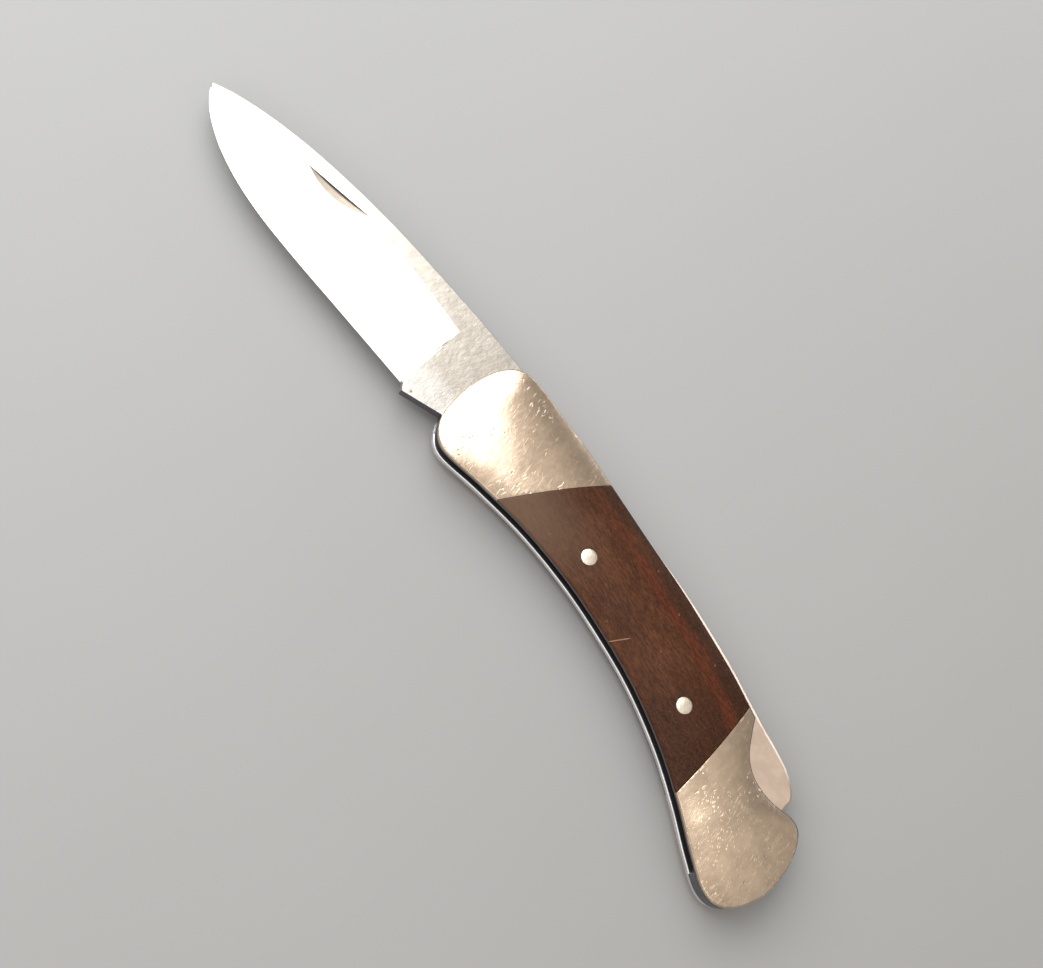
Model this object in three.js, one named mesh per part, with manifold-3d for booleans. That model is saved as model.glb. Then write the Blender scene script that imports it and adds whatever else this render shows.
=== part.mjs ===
// Lockback folding pocket knife, open, lying on its pile side.
// Millimetres. +X runs along the blade's axis to the butt, +Y to the spine, +Z up through the mark side.
// The origin is on the blade pivot's axis, in the plane that the pile side rests on.
import * as THREE from 'three';
import { mergeVertices } from 'three/addons/utils/BufferGeometryUtils.js';
import Module from 'manifold-3d';

const wasm = await Module();
wasm.setup();

// Thicknesses
const bladeThickness = 2.6;
const bladeSideGap = 0.2;
const barSideGap = 0.15;
const linerThickness = 1.0;
const coverThickness = 2.9;
const slotWidth = bladeThickness + 2 * bladeSideGap;
const barThickness = slotWidth - 2 * barSideGap;
const middleHeight = coverThickness + linerThickness + slotWidth / 2;

// Lengths from the blade pivot
const bladeReach = 83.7;
const bolsterReach = 7.7;
const buttRoom = 18.39;

// Angles of the two moving pieces, in degrees from the pose shown
const closedAngle = 168;
const engagedAngle = 1.6;
const pressedAngle = 0.8;

// Blade: ground part
const plungeReach = 16.9;
const plungeLength = 0.9;
const plungeLean = 0.8;
const edgeHalfThickness = 0.2;
const bevelWidth = 0.9;
const flatDepth = 4.9;
const flatTipDepth = 1.0;
const tipThicknessShare = 0.42;
const hollowPower = 1.6;

// Blade: ricasso and tang
const kickReach = 15.2;
const kickDrop = 9.55;
const ricassoSlope = 0.345;
const tangRadius = 7.2;
const tangSpineHeight = 11.6;

// Nail nick on the mark side
const nickLength = 14.8;
const nickDepth = 0.7;
const nickWidth = 2.6;
const nickFromTip = 31.0;
const nickEdgeDrop = 2.85;
const nickSlope = 8.2;

// Pins
const pivotPinRadius = 2.4;
const pivotClearance = 0.1;
const rockerPinRadius = 1.2;
const rockerClearance = 0.1;
const buttPinRadius = 1.2;
const scalePinRadius = 1.6;
const scalePinDome = 0.25;
const pinFit = 0.06;
const bolsterSkin = 1.5;
const pinEndGap = 0.1;

// Lock bar
const rockerReach = 40;
const rockerHeight = 4.6;
const toothWidth = 2.8;
const toothFront = 1.6;
const toothClearance = 0.15;
const shoulderGap = 0.4;
const notchFloorGap = 0.3;
const notchSideGap = 0.35;
const seatFloorGap = 0.5;
const barTangGap = 0.12;
const barEndRoom = 8.15;
const barProud = 1.15;

// Spring and its holder
const springThickness = 1.0;
const springSideGap = 0.2;
const springSlotGap = 0.15;
const springContactReach = 51;
const springContactGap = 0.43;
const springSeatDepth = 7;
const holderTipRoom = 6.2;
const holderArmRoom = 2.4;
const lobeFloorGap = 0.58;
const armWall = 1.3;
const armSlant = 2;

// Covers
const crownWidth = 7;
const crownEdge = 0.5;
const seamGap = 0.08;
const frontScalePinPlace = { reach: 31.4, drop: 4.6 };
const rearScalePinPlace = { fromButt: 35.85, drop: 10.0 };

const roundSides = 32;
const far = 200;
const radians = THREE.MathUtils.degToRad;

// The blade's point, open and closed, and the handle's length that takes the closed point
const pivotPlace = new THREE.Vector2();
const openTip = new THREE.Vector2(-bladeReach, 3.4);
const closedTip = openTip.clone().rotateAround(pivotPlace, radians(closedAngle));
const handleReach = closedTip.x + buttRoom;
const barRearReach = handleReach - barEndRoom;
const frontScalePin = { x: frontScalePinPlace.reach, y: -frontScalePinPlace.drop };
const rearScalePin = { x: handleReach - rearScalePinPlace.fromButt, y: -rearScalePinPlace.drop };

// Colours and finishes
const finishes = {
  blade: { color: 0xd9d6cf, roughness: 0.22, metalness: 1 },
  bolster: { color: 0xb8a48c, roughness: 0.34, metalness: 1 },
  liner: { color: 0xc9ccd2, roughness: 0.3, metalness: 1 },
  lock: { color: 0xc4b29c, roughness: 0.36, metalness: 1 },
  spring: { color: 0x8f9196, roughness: 0.4, metalness: 1 },
  wood: { color: 0x43291f, roughness: 0.42, metalness: 0 },
  pin: { color: 0xd8cdb8, roughness: 0.3, metalness: 1 },
};

const part = new THREE.Group();

function addPiece(name, geometry, finish, z = 0) {
  const mesh = new THREE.Mesh(geometry, new THREE.MeshStandardMaterial(finishes[finish]));
  mesh.name = name;
  mesh.position.z = z;
  part.add(mesh);
}

// Cutting and joining

function toSolid(geometry) {
  const bare = geometry.clone();
  bare.deleteAttribute('normal');
  bare.deleteAttribute('uv');
  const merged = mergeVertices(bare, 1e-4);
  return new wasm.Manifold(new wasm.Mesh({
    numProp: 3,
    vertProperties: new Float32Array(merged.attributes.position.array),
    triVerts: new Uint32Array(merged.index.array),
  }));
}

function toGeometry(solid) {
  const mesh = solid.getMesh();
  const geometry = new THREE.BufferGeometry();
  geometry.setAttribute('position', new THREE.BufferAttribute(mesh.vertProperties, 3));
  geometry.setIndex(new THREE.BufferAttribute(mesh.triVerts, 1));
  geometry.computeVertexNormals();
  return geometry;
}

function cut(geometry, cutters) {
  let solid = toSolid(geometry);
  for (const cutter of cutters) {
    solid = solid.subtract(toSolid(cutter));
  }
  return toGeometry(solid);
}

// Outlines

function smoothCurve(points) {
  const knots = points.map(([x, y]) => new THREE.Vector3(x, y, 0));
  return new THREE.CatmullRomCurve3(knots, false, 'centripetal');
}

// Points along a smooth curve, closer together where it turns
function fairPoints(points, maxTurn, maxStep) {
  const dense = smoothCurve(points).getPoints(points.length * 40);
  const kept = [dense[0]];
  let turn = 0;
  let run = 0;
  for (let i = 1; i < dense.length - 1; i += 1) {
    const before = dense[i].clone().sub(dense[i - 1]);
    const after = dense[i + 1].clone().sub(dense[i]);
    turn += before.angleTo(after);
    run += before.length();
    if (turn > radians(maxTurn) || run > maxStep) {
      kept.push(dense[i]);
      turn = 0;
      run = 0;
    }
  }
  if (run < maxStep / 5) {
    kept.pop();
  }
  kept.push(dense.at(-1));
  return kept.map((point) => new THREE.Vector2(point.x, point.y));
}

// Height of an outline, given from left to right, over a place on X
function heightOver(points, x) {
  const next = points.findIndex((point) => point.x > x);
  if (next === -1) {
    return points.at(-1).y;
  }
  const right = points[next];
  const left = points[Math.max(next - 1, 0)];
  if (right === left) {
    return left.y;
  }
  return THREE.MathUtils.mapLinear(x, left.x, right.x, left.y, right.y);
}

function plate(outline, thickness, bottom) {
  const shape = Array.isArray(outline) ? new THREE.Shape(outline) : outline;
  const settings = { depth: thickness, bevelEnabled: false, curveSegments: roundSides / 2 };
  const geometry = new THREE.ExtrudeGeometry(shape, settings);
  geometry.translate(0, 0, bottom);
  return geometry;
}

function rod(x, y, radius, bottom, top) {
  const geometry = new THREE.CylinderGeometry(radius, radius, top - bottom, roundSides);
  geometry.rotateX(Math.PI / 2);
  geometry.translate(x, y, (bottom + top) / 2);
  return geometry;
}

// The handle's outline, seen from the mark side, from the scoop's top corner round the butt,
// the belly and the front of the bolster, and back along the spine
const butt = (back, y) => [handleReach - back, y];
const waist = (share, y) => [handleReach * share, y];
const front = (back, y) => [back - bolsterReach, y];
const scoopCorner = butt(24.35, -0.1);
const scoopPoints = [
  scoopCorner, butt(22.75, -2.6), butt(20.45, -5.7), butt(17.65, -7.8), butt(14.65, -8.7), butt(11.65, -8.9),
  butt(8.75, -8.5), butt(6.2, -8.0), butt(4.1, -8.5), butt(2.65, -9.9), butt(0.8, -13.8), butt(0, -19),
  butt(0.5, -23.3), butt(2.65, -27.9), butt(4.3, -29.6), butt(6.3, -30.5), butt(9.3, -30.3),
];
const bellyPoints = [
  butt(14.95, -27.6), butt(23.45, -22.8), waist(0.67, -18.3), waist(0.5475, -14.1), waist(0.425, -11.6),
  waist(0.3255, -10.3), waist(0.201, -9.85), waist(0.08, -10.7),
];
const frontPoints = [
  front(6.4, -11.7), front(4.1, -11.1), front(2.1, -9.3), front(0.8, -7.0), front(0.15, -3.6), front(0, 0),
  front(0.4, 3.6), front(1.4, 7.2), front(2.9, 9.7), front(4.5, 11.0), front(6.3, 11.6), front(9, 11.7),
];
const spinePoints = [
  waist(0.08, 11.15), waist(0.173, 10.3), waist(0.265, 8.95), waist(0.379, 7.3), waist(0.482, 5.95),
  waist(0.5825, 4.1), waist(0.679, 2.05), scoopCorner,
];
const handleOutline = fairPoints([...scoopPoints, ...bellyPoints, ...frontPoints, ...spinePoints], 9, 7);
handleOutline.pop();
if (THREE.ShapeUtils.isClockWise(handleOutline)) {
  handleOutline.reverse();
}
const spineLine = fairPoints([frontPoints.at(-1), ...spinePoints], 3, 4);

// Ground part of the blade, from the tip to the plunge line: sections that lean round the tip
const groundLength = bladeReach - plungeReach;
const fromTip = (share, y) => [groundLength * share - bladeReach, y];
const bladeSpine = smoothCurve([
  openTip.toArray(), fromTip(0.039, 4.6), fromTip(0.138, 6.9), fromTip(0.271, 9.0), fromTip(0.4415, 10.65),
  fromTip(0.678, 11.8), [-plungeReach - plungeLean, 12.15],
]);
const bladeEdge = smoothCurve([
  openTip.toArray(), fromTip(0.0075, 2.3), fromTip(0.0405, 0.1), fromTip(0.081, -1.75), fromTip(0.148, -3.9),
  fromTip(0.2185, -5.4), fromTip(0.2905, -6.45), fromTip(0.389, -7.3), fromTip(0.539, -7.8),
  fromTip(0.7485, -8.0), [-plungeReach, -8.25],
]);
const bladeSections = 24;
const hollowSteps = 5;
const ricassoOverlap = 1;
const joinOverlap = 0.02;
const plungeMiddleGrind = 0.55;

// The flat along the spine narrows towards the tip, and so does the blade's thickness
function sectionSizes(share, width) {
  const taper = THREE.MathUtils.lerp(tipThicknessShare, 1, Math.min(share * 1.5, 1));
  const flat = THREE.MathUtils.lerp(flatTipDepth, flatDepth, share ** 2);
  return {
    halfThickness: (bladeThickness / 2) * taper,
    grindShare: 1 - Math.min(flat / width, 0.45),
    bevelShare: Math.min(bevelWidth / width, 0.2),
  };
}

function groundHalf(halfThickness, share) {
  return THREE.MathUtils.lerp(edgeHalfThickness, halfThickness, share ** hollowPower);
}

function bladeSection(edge, spine, grind, alongShare) {
  const { halfThickness, grindShare, bevelShare } = sectionSizes(alongShare, edge.distanceTo(spine));
  const side = [];
  for (let step = 0; step <= hollowSteps; step += 1) {
    const share = step / hollowSteps;
    const ground = groundHalf(halfThickness, share);
    const across = THREE.MathUtils.lerp(bevelShare * grind, grindShare, share);
    side.push([across, THREE.MathUtils.lerp(halfThickness, ground, grind)]);
  }
  side.push([1, halfThickness]);
  const back = side.map(([across, z]) => [across, -z]).reverse();
  const place = ([across, z]) => {
    const point = edge.clone().lerp(spine, across);
    return new THREE.Vector3(point.x, point.y, z);
  };
  return [[0, 0], ...side, ...back].map(place);
}

function closedLoft(tip, sections) {
  const positions = [tip, ...sections.flat()];
  const count = sections[0].length;
  const indices = [];
  const vertex = (row, column) => 1 + row * count + (column % count);
  for (let column = 0; column < count; column += 1) {
    indices.push(0, vertex(0, column), vertex(0, column + 1));
    for (let row = 0; row < sections.length - 1; row += 1) {
      const corners = [vertex(row, column), vertex(row, column + 1)];
      const further = [vertex(row + 1, column), vertex(row + 1, column + 1)];
      indices.push(corners[0], further[0], further[1]);
      indices.push(corners[0], further[1], corners[1]);
    }
  }
  const last = sections.length - 1;
  for (let column = 1; column < count - 1; column += 1) {
    indices.push(vertex(last, 0), vertex(last, column + 1), vertex(last, column));
  }
  const geometry = new THREE.BufferGeometry().setFromPoints(positions);
  geometry.setIndex(indices);
  return geometry;
}

function groundBlade() {
  const sections = [];
  for (let row = 1; row <= bladeSections; row += 1) {
    const share = (row / bladeSections) ** 1.4;
    sections.push(bladeSection(bladeEdge.getPointAt(share), bladeSpine.getPointAt(share), 1, share));
  }
  for (const past of [plungeLength / 2, plungeLength, plungeLength + ricassoOverlap]) {
    const grind = past < plungeLength ? plungeMiddleGrind : 0;
    const shift = new THREE.Vector3(past, 0, 0);
    const edge = bladeEdge.getPoint(1).add(shift);
    const spine = bladeSpine.getPoint(1).add(shift);
    sections.push(bladeSection(edge, spine, grind, 1));
  }
  return closedLoft(bladeEdge.getPoint(0), sections);
}

// Tang: a circle round the pivot that the tooth rides on, with a notch for the open blade,
// a seat for the closed one, and the shoulder that the bar's end meets
const toothRear = toothFront + toothWidth;
const lockDrop = (x) => (rockerReach - x) * Math.sin(radians(engagedAngle));
const toothRadius = tangRadius + toothClearance;
const onCircle = (x, radius) => Math.sqrt(radius ** 2 - x ** 2);
const notchFront = toothFront - shoulderGap;
const notchRear = toothRear + notchSideGap;
const notchFloor = (x) => onCircle(x, toothRadius) - lockDrop(x) - notchFloorGap;
const toothMiddle = toothFront + toothWidth / 2;
const toothAngle = Math.atan2(onCircle(toothMiddle, toothRadius), toothMiddle);
const seatAngle = toothAngle - radians(closedAngle);
const seatDepth = toothRadius - lockDrop(toothFront) - seatFloorGap;

function tang() {
  const start = new THREE.Vector3(plungeLength + joinOverlap, 0, 0);
  const spineStart = bladeSpine.getPoint(1).add(start);
  const edgeStart = bladeEdge.getPoint(1).add(start);
  const seatNormal = new THREE.Vector2(Math.cos(seatAngle), Math.sin(seatAngle));
  const ricasso = (x) => -kickDrop + ricassoSlope * (x + kickReach);
  const reach = seatDepth - seatNormal.y * ricasso(0);
  const seatStart = reach / (seatNormal.x + seatNormal.y * ricassoSlope);
  const seatEndAngle = seatAngle + Math.acos(seatDepth / tangRadius);
  const rearAngle = Math.atan2(onCircle(notchRear, tangRadius), notchRear);
  const shape = new THREE.Shape();
  shape.moveTo(spineStart.x, spineStart.y);
  shape.lineTo(-bolsterReach, (spineStart.y + tangSpineHeight) / 2);
  shape.lineTo(notchFront, tangSpineHeight);
  shape.lineTo(notchFront, notchFloor(toothFront));
  shape.lineTo(notchRear, notchFloor(toothRear));
  shape.lineTo(notchRear, onCircle(notchRear, tangRadius));
  shape.absarc(0, 0, tangRadius, rearAngle, seatEndAngle, true);
  shape.lineTo(seatStart, ricasso(seatStart));
  shape.lineTo(-kickReach, -kickDrop);
  shape.lineTo(edgeStart.x, edgeStart.y);
  const geometry = plate(shape, bladeThickness, -bladeThickness / 2);
  const hole = rod(0, 0, pivotPinRadius + pivotClearance, -bladeThickness, bladeThickness);
  return toSolid(geometry).subtract(toSolid(hole));
}

// The nick is cut by a wide cone: its flat base makes the straight edge that the nail catches
function nickCutter() {
  const radius = (nickLength ** 2 / 4 + nickDepth ** 2) / (2 * nickDepth);
  const height = (radius * nickWidth) / nickDepth;
  const cone = new THREE.ConeGeometry(radius, height, 200);
  cone.translate(0, height / 2, 0);
  cone.rotateX(Math.PI);
  cone.rotateZ(radians(nickSlope));
  const share = nickFromTip / groundLength;
  const spine = bladeSpine.getPointAt(share);
  const width = spine.distanceTo(bladeEdge.getPointAt(share));
  const { halfThickness, grindShare, bevelShare } = sectionSizes(share, width);
  const across = (1 - nickEdgeDrop / width - bevelShare) / (grindShare - bevelShare);
  const surface = groundHalf(halfThickness, Math.min(across, 1));
  cone.translate(nickFromTip - bladeReach, spine.y - nickEdgeDrop, surface - nickDepth + radius);
  return cone;
}

function blade() {
  const whole = toSolid(groundBlade()).add(tang());
  return toGeometry(whole.subtract(toSolid(nickCutter())));
}

// Lock bar: a tooth at the front, the rocker pin's hole, and the release lobe in the scoop
const barEnd = (back, y) => [barRearReach - back, y];
const barFrontBelly = onCircle(notchRear, tangRadius) + lockDrop(toothRear) + barTangGap;
const bellyOfBar = fairPoints([
  [toothRear, barFrontBelly], [11, barFrontBelly], [16.5, 7.2], [27, 4.6], [rockerReach, rockerHeight - 2.6],
  waist(0.5035, 0.6), waist(0.604, -1.7), waist(0.704, -5.0), barEnd(13.3, -8.9), barEnd(7.8, -10.6),
  barEnd(0, -10.7),
], 8, 9);

function lockBar() {
  const shape = new THREE.Shape();
  const spineTop = (x) => heightOver(spineLine, x) + barProud * THREE.MathUtils.smoothstep(x, 18, 62);
  const top = [];
  for (let x = toothFront; x < scoopCorner[0]; x += 5) {
    top.push(new THREE.Vector2(x, spineTop(x)));
  }
  const lobe = fairPoints([
    top.at(-1).toArray(), barEnd(13.5, 0.45), barEnd(8.6, -0.65), barEnd(4.3, -1.95), barEnd(1.6, -3.5),
    barEnd(0.1, -5.2), barEnd(0, -7),
  ], 8, 5);
  const tipAngles = [toothFront, toothRear].map((x) => Math.atan2(onCircle(x, toothRadius), x));
  shape.setFromPoints([...top, ...lobe.slice(1)]);
  shape.lineTo(barRearReach, bellyOfBar.at(-1).y);
  for (const point of [...bellyOfBar].reverse().slice(1)) {
    shape.lineTo(point.x, point.y);
  }
  const tipSteps = 3;
  for (let step = 0; step <= tipSteps; step += 1) {
    const angle = THREE.MathUtils.lerp(tipAngles[1], tipAngles[0], step / tipSteps);
    shape.lineTo(toothRadius * Math.cos(angle), toothRadius * Math.sin(angle));
  }
  const geometry = plate(shape, barThickness, -barThickness / 2);
  const radius = rockerPinRadius + rockerClearance;
  return cut(geometry, [rod(rockerReach, rockerHeight, radius, -barThickness, barThickness)]);
}

// Leaf spring: held in the holder's slot, bearing upwards under the bar behind the rocker pin
const holderFront = closedTip.x + holderTipRoom;
const armFront = closedTip.x + holderArmRoom;
const lobeRoom = (barRearReach - rockerReach) * Math.sin(radians(pressedAngle)) + lobeFloorGap;
const armTop = bellyOfBar.at(-1).y - lobeRoom;
const springSlot = { x: armFront, y: armTop - armWall - springSlotGap - springThickness / 2 };
const springContact = {
  x: springContactReach,
  y: heightOver(bellyOfBar, springContactReach) - springContactGap - springThickness / 2,
};

function lockSpring() {
  const run = springSlot.x - springContact.x;
  const fall = springContact.y - springSlot.y;
  const along = (share, drop) => [springSlot.x - run * share, springSlot.y + fall * drop];
  const line = fairPoints([
    [springSlot.x + springSeatDepth, springSlot.y], along(0, 0), along(0.05, 0.004), along(0.3, 0.27),
    along(0.6, 0.66), along(0.86, 0.92), along(1, 1), along(1.07, 0.95),
  ], 6, 6);
  const upper = [];
  const lower = [];
  line.forEach((point, i) => {
    const before = line[Math.max(i - 1, 0)];
    const after = line[Math.min(i + 1, line.length - 1)];
    const heading = after.clone().sub(before).normalize();
    const normal = new THREE.Vector2(heading.y, -heading.x).multiplyScalar(springThickness / 2);
    upper.push(point.clone().add(normal));
    lower.push(point.clone().sub(normal));
  });
  const width = slotWidth - 2 * springSideGap;
  return plate([...upper, ...lower.reverse()], width, -width / 2);
}

// Holder: the spacer between the liners at the butt, with an arm under the lobe that grips the spring
const buttPinX = (holderFront + buttPinRadius + handleReach) / 2;
const upperButtPin = { x: buttPinX, y: -14.6 };
const lowerButtPin = { x: buttPinX, y: -24.2 };

function springHolder() {
  const slotHalf = springThickness / 2 + springSlotGap;
  const armBottom = springSlot.y - slotHalf - armWall;
  const lobeClear = barRearReach + lobeRoom;
  const corner = (x, y) => new THREE.Vector2(x, y);
  const region = [
    corner(holderFront, -far), corner(far, -far), corner(far, far), corner(lobeClear, far),
    corner(lobeClear, armTop), corner(armFront, armTop), corner(armFront, springSlot.y + slotHalf),
    corner(springSlot.x + springSeatDepth + springSlotGap, springSlot.y + slotHalf),
    corner(springSlot.x + springSeatDepth + springSlotGap, springSlot.y - slotHalf),
    corner(armFront, springSlot.y - slotHalf), corner(armFront, armBottom),
    corner(holderFront, armBottom - armSlant),
  ];
  const whole = toSolid(plate(handleOutline, slotWidth, -slotWidth / 2));
  const kept = whole.intersect(toSolid(plate(region, 2 * slotWidth, -slotWidth)));
  const pins = [upperButtPin, lowerButtPin];
  const radius = buttPinRadius + pinFit;
  return cut(toGeometry(kept), pins.map(({ x, y }) => rod(x, y, radius, -slotWidth, slotWidth)));
}

// Liners: plain plates of the handle's outline, with a hole for each pin
const pinPlaces = [
  { x: 0, y: 0, radius: pivotPinRadius },
  { x: rockerReach, y: rockerHeight, radius: rockerPinRadius },
  { ...upperButtPin, radius: buttPinRadius },
  { ...lowerButtPin, radius: buttPinRadius },
  { ...frontScalePin, radius: scalePinRadius },
  { ...rearScalePin, radius: scalePinRadius },
];

function liner() {
  const shape = new THREE.Shape(handleOutline);
  for (const { x, y, radius } of pinPlaces) {
    shape.holes.push(new THREE.Path().absarc(x, y, radius + pinFit, 0, 2 * Math.PI, false));
  }
  return plate(shape, linerThickness, 0);
}

// Covers: one crowned shell over each liner, parted at two seams into bolster, scale and bolster
const middleLine = [
  [0, 0.4], waist(0.2, 0.1), waist(0.4, -2), waist(0.6, -6), butt(24.45, -12.4), butt(11.45, -19.6),
].map(([x, y]) => new THREE.Vector2(x, y));

function nearestOn(line, point) {
  const candidate = new THREE.Vector3();
  const nearest = new THREE.Vector3();
  const target = new THREE.Vector3(point.x, point.y, 0);
  let least = Infinity;
  for (let i = 0; i < line.length - 1; i += 1) {
    const start = new THREE.Vector3(line[i].x, line[i].y, 0);
    const end = new THREE.Vector3(line[i + 1].x, line[i + 1].y, 0);
    new THREE.Line3(start, end).closestPointToPoint(target, true, candidate);
    if (candidate.distanceTo(target) < least) {
      least = candidate.distanceTo(target);
      nearest.copy(candidate);
    }
  }
  return { point: new THREE.Vector2(nearest.x, nearest.y), distance: least };
}

const closedOutline = [...handleOutline, handleOutline[0]];

// The point on the way from the outline to the middle line that lies a given distance inside
function inset(point, distance) {
  const goal = nearestOn(middleLine, point).point;
  let low = 0;
  let high = 0.97;
  for (let i = 0; i < 20; i += 1) {
    const share = (low + high) / 2;
    if (nearestOn(closedOutline, point.clone().lerp(goal, share)).distance < distance) {
      low = share;
    } else {
      high = share;
    }
  }
  return point.clone().lerp(goal, (low + high) / 2);
}

const crownSteps = 6;

// Share of the crown's height at a share of the way in from the outline
function crownRise(depth) {
  return 1 - (1 - Math.min(depth, 1)) ** 2;
}

function crownedCover() {
  const count = handleOutline.length;
  const positions = [];
  const indices = [];
  const addRing = (points, z) => points.forEach((point) => positions.push(point.x, point.y, z));
  addRing(handleOutline, 0);
  let ring = handleOutline;
  for (let step = 0; step <= crownSteps; step += 1) {
    const angle = (Math.PI / 2) * (step / crownSteps);
    const depth = 1 - Math.cos(angle);
    if (step > 0) {
      ring = handleOutline.map((point) => inset(point, crownWidth * depth));
    }
    addRing(ring, THREE.MathUtils.lerp(crownEdge, coverThickness, crownRise(depth)));
  }
  for (let level = 0; level <= crownSteps; level += 1) {
    for (let i = 0; i < count; i += 1) {
      const a = level * count + i;
      const b = level * count + ((i + 1) % count);
      indices.push(a, b, b + count, a, b + count, a + count);
    }
  }
  for (const face of THREE.ShapeUtils.triangulateShape(handleOutline, [])) {
    indices.push(face[2], face[1], face[0]);
  }
  const top = (crownSteps + 1) * count;
  for (const face of THREE.ShapeUtils.triangulateShape(ring, [])) {
    indices.push(top + face[0], top + face[1], top + face[2]);
  }
  const geometry = new THREE.BufferGeometry();
  geometry.setAttribute('position', new THREE.BufferAttribute(new Float32Array(positions), 3));
  geometry.setIndex(indices);
  return geometry;
}

// Seams run from the belly to the spine
const frontSeam = [new THREE.Vector2(11.6, -11.0), new THREE.Vector2(24.4, 9.2)];
const rearSeam = [butt(25.15, -22.5), butt(26.65, 0.7)].map(([x, y]) => new THREE.Vector2(x, y));

function sideOfSeam([belly, spine], side) {
  const along = spine.clone().sub(belly).normalize();
  const across = new THREE.Vector2(along.y, -along.x).multiplyScalar(side);
  const near = belly.clone().addScaledVector(across, seamGap / 2);
  const low = near.clone().addScaledVector(along, -far);
  const high = near.clone().addScaledVector(along, far);
  const farHigh = high.clone().addScaledVector(across, far);
  const farLow = low.clone().addScaledVector(across, far);
  const corners = [low, high, farHigh, farLow];
  return toSolid(plate(corners, 2 * coverThickness, -coverThickness / 2));
}

function withHoles(solid, places, bottom, top) {
  let drilled = solid;
  for (const { x, y, radius } of places) {
    drilled = drilled.subtract(toSolid(rod(x, y, radius + pinFit, bottom, top)));
  }
  return toGeometry(drilled);
}

function covers() {
  const whole = toSolid(crownedCover());
  const skinTop = coverThickness - bolsterSkin;
  const behindFront = sideOfSeam(frontSeam, 1);
  const beforeRear = sideOfSeam(rearSeam, -1);
  const pivot = pinPlaces.slice(0, 1);
  const butts = pinPlaces.slice(2, 4);
  const scales = pinPlaces.slice(4);
  return {
    front_bolster: withHoles(whole.intersect(sideOfSeam(frontSeam, -1)), pivot, -1, skinTop),
    scale: withHoles(whole.intersect(behindFront).intersect(beforeRear), scales, -1, coverThickness + 1),
    rear_bolster: withHoles(whole.intersect(sideOfSeam(rearSeam, 1)), butts, -1, skinTop),
  };
}

// A scale pin runs from the liner's inner face to a low dome level with the wood
function scalePin({ x, y }) {
  const depth = nearestOn(closedOutline, new THREE.Vector2(x, y)).distance / crownWidth;
  const surface = THREE.MathUtils.lerp(crownEdge, coverThickness, crownRise(depth));
  const rim = linerThickness + surface - scalePinDome;
  const profile = [new THREE.Vector2(0, 0), new THREE.Vector2(scalePinRadius, 0)];
  const domeSteps = 4;
  for (let step = 0; step < domeSteps; step += 1) {
    const angle = (Math.PI / 2) * (step / domeSteps);
    profile.push(new THREE.Vector2(scalePinRadius * Math.cos(angle), rim + scalePinDome * Math.sin(angle)));
  }
  profile.push(new THREE.Vector2(0, rim + scalePinDome));
  const geometry = new THREE.LatheGeometry(profile, roundSides);
  geometry.rotateX(Math.PI / 2);
  geometry.translate(x, y, 0);
  return geometry;
}

// The pile side is the mark side turned over in Z
function turnedOver(geometry) {
  const turned = geometry.index ? geometry.toNonIndexed() : geometry.clone();
  turned.scale(1, 1, -1);
  const positions = turned.attributes.position;
  const swap = new THREE.Vector3();
  const other = new THREE.Vector3();
  for (let i = 0; i < positions.count; i += 3) {
    swap.fromBufferAttribute(positions, i + 1);
    other.fromBufferAttribute(positions, i + 2);
    positions.setXYZ(i + 1, other.x, other.y, other.z);
    positions.setXYZ(i + 2, swap.x, swap.y, swap.z);
  }
  turned.deleteAttribute('normal');
  turned.deleteAttribute('uv');
  const merged = mergeVertices(turned, 1e-5);
  merged.computeVertexNormals();
  return merged;
}

function addBothSides(name, geometry, finish, fromMiddle) {
  addPiece(`mark_side_${name}`, geometry, finish, middleHeight + fromMiddle);
  addPiece(`pile_side_${name}`, turnedOver(geometry), finish, middleHeight - fromMiddle);
}

const pinReach = middleHeight - bolsterSkin - pinEndGap;
const linerReach = slotWidth / 2 + linerThickness - pinEndGap;

addPiece('blade', blade(), 'blade', middleHeight);
addPiece('pivot_pin', rod(0, 0, pivotPinRadius, -pinReach, pinReach), 'pin', middleHeight);
addPiece('lock_bar', lockBar(), 'lock', middleHeight);
const rockerPin = rod(rockerReach, rockerHeight, rockerPinRadius, -linerReach, linerReach);
addPiece('rocker_pin', rockerPin, 'pin', middleHeight);
addPiece('lock_spring', lockSpring(), 'spring', middleHeight);
addPiece('spring_holder', springHolder(), 'liner', middleHeight);
for (const [name, { x, y }] of [['upper_butt_pin', upperButtPin], ['lower_butt_pin', lowerButtPin]]) {
  addPiece(name, rod(x, y, buttPinRadius, -pinReach, pinReach), 'pin', middleHeight);
}
addBothSides('liner', liner(), 'liner', slotWidth / 2);
const coverFinishes = { front_bolster: 'bolster', scale: 'wood', rear_bolster: 'bolster' };
for (const [name, geometry] of Object.entries(covers())) {
  addBothSides(name, geometry, coverFinishes[name], slotWidth / 2 + linerThickness);
}
addBothSides('front_scale_pin', scalePin(frontScalePin), 'pin', slotWidth / 2);
addBothSides('rear_scale_pin', scalePin(rearScalePin), 'pin', slotWidth / 2);

export default part;
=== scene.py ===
"""An open lockback folding knife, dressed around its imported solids."""

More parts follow.
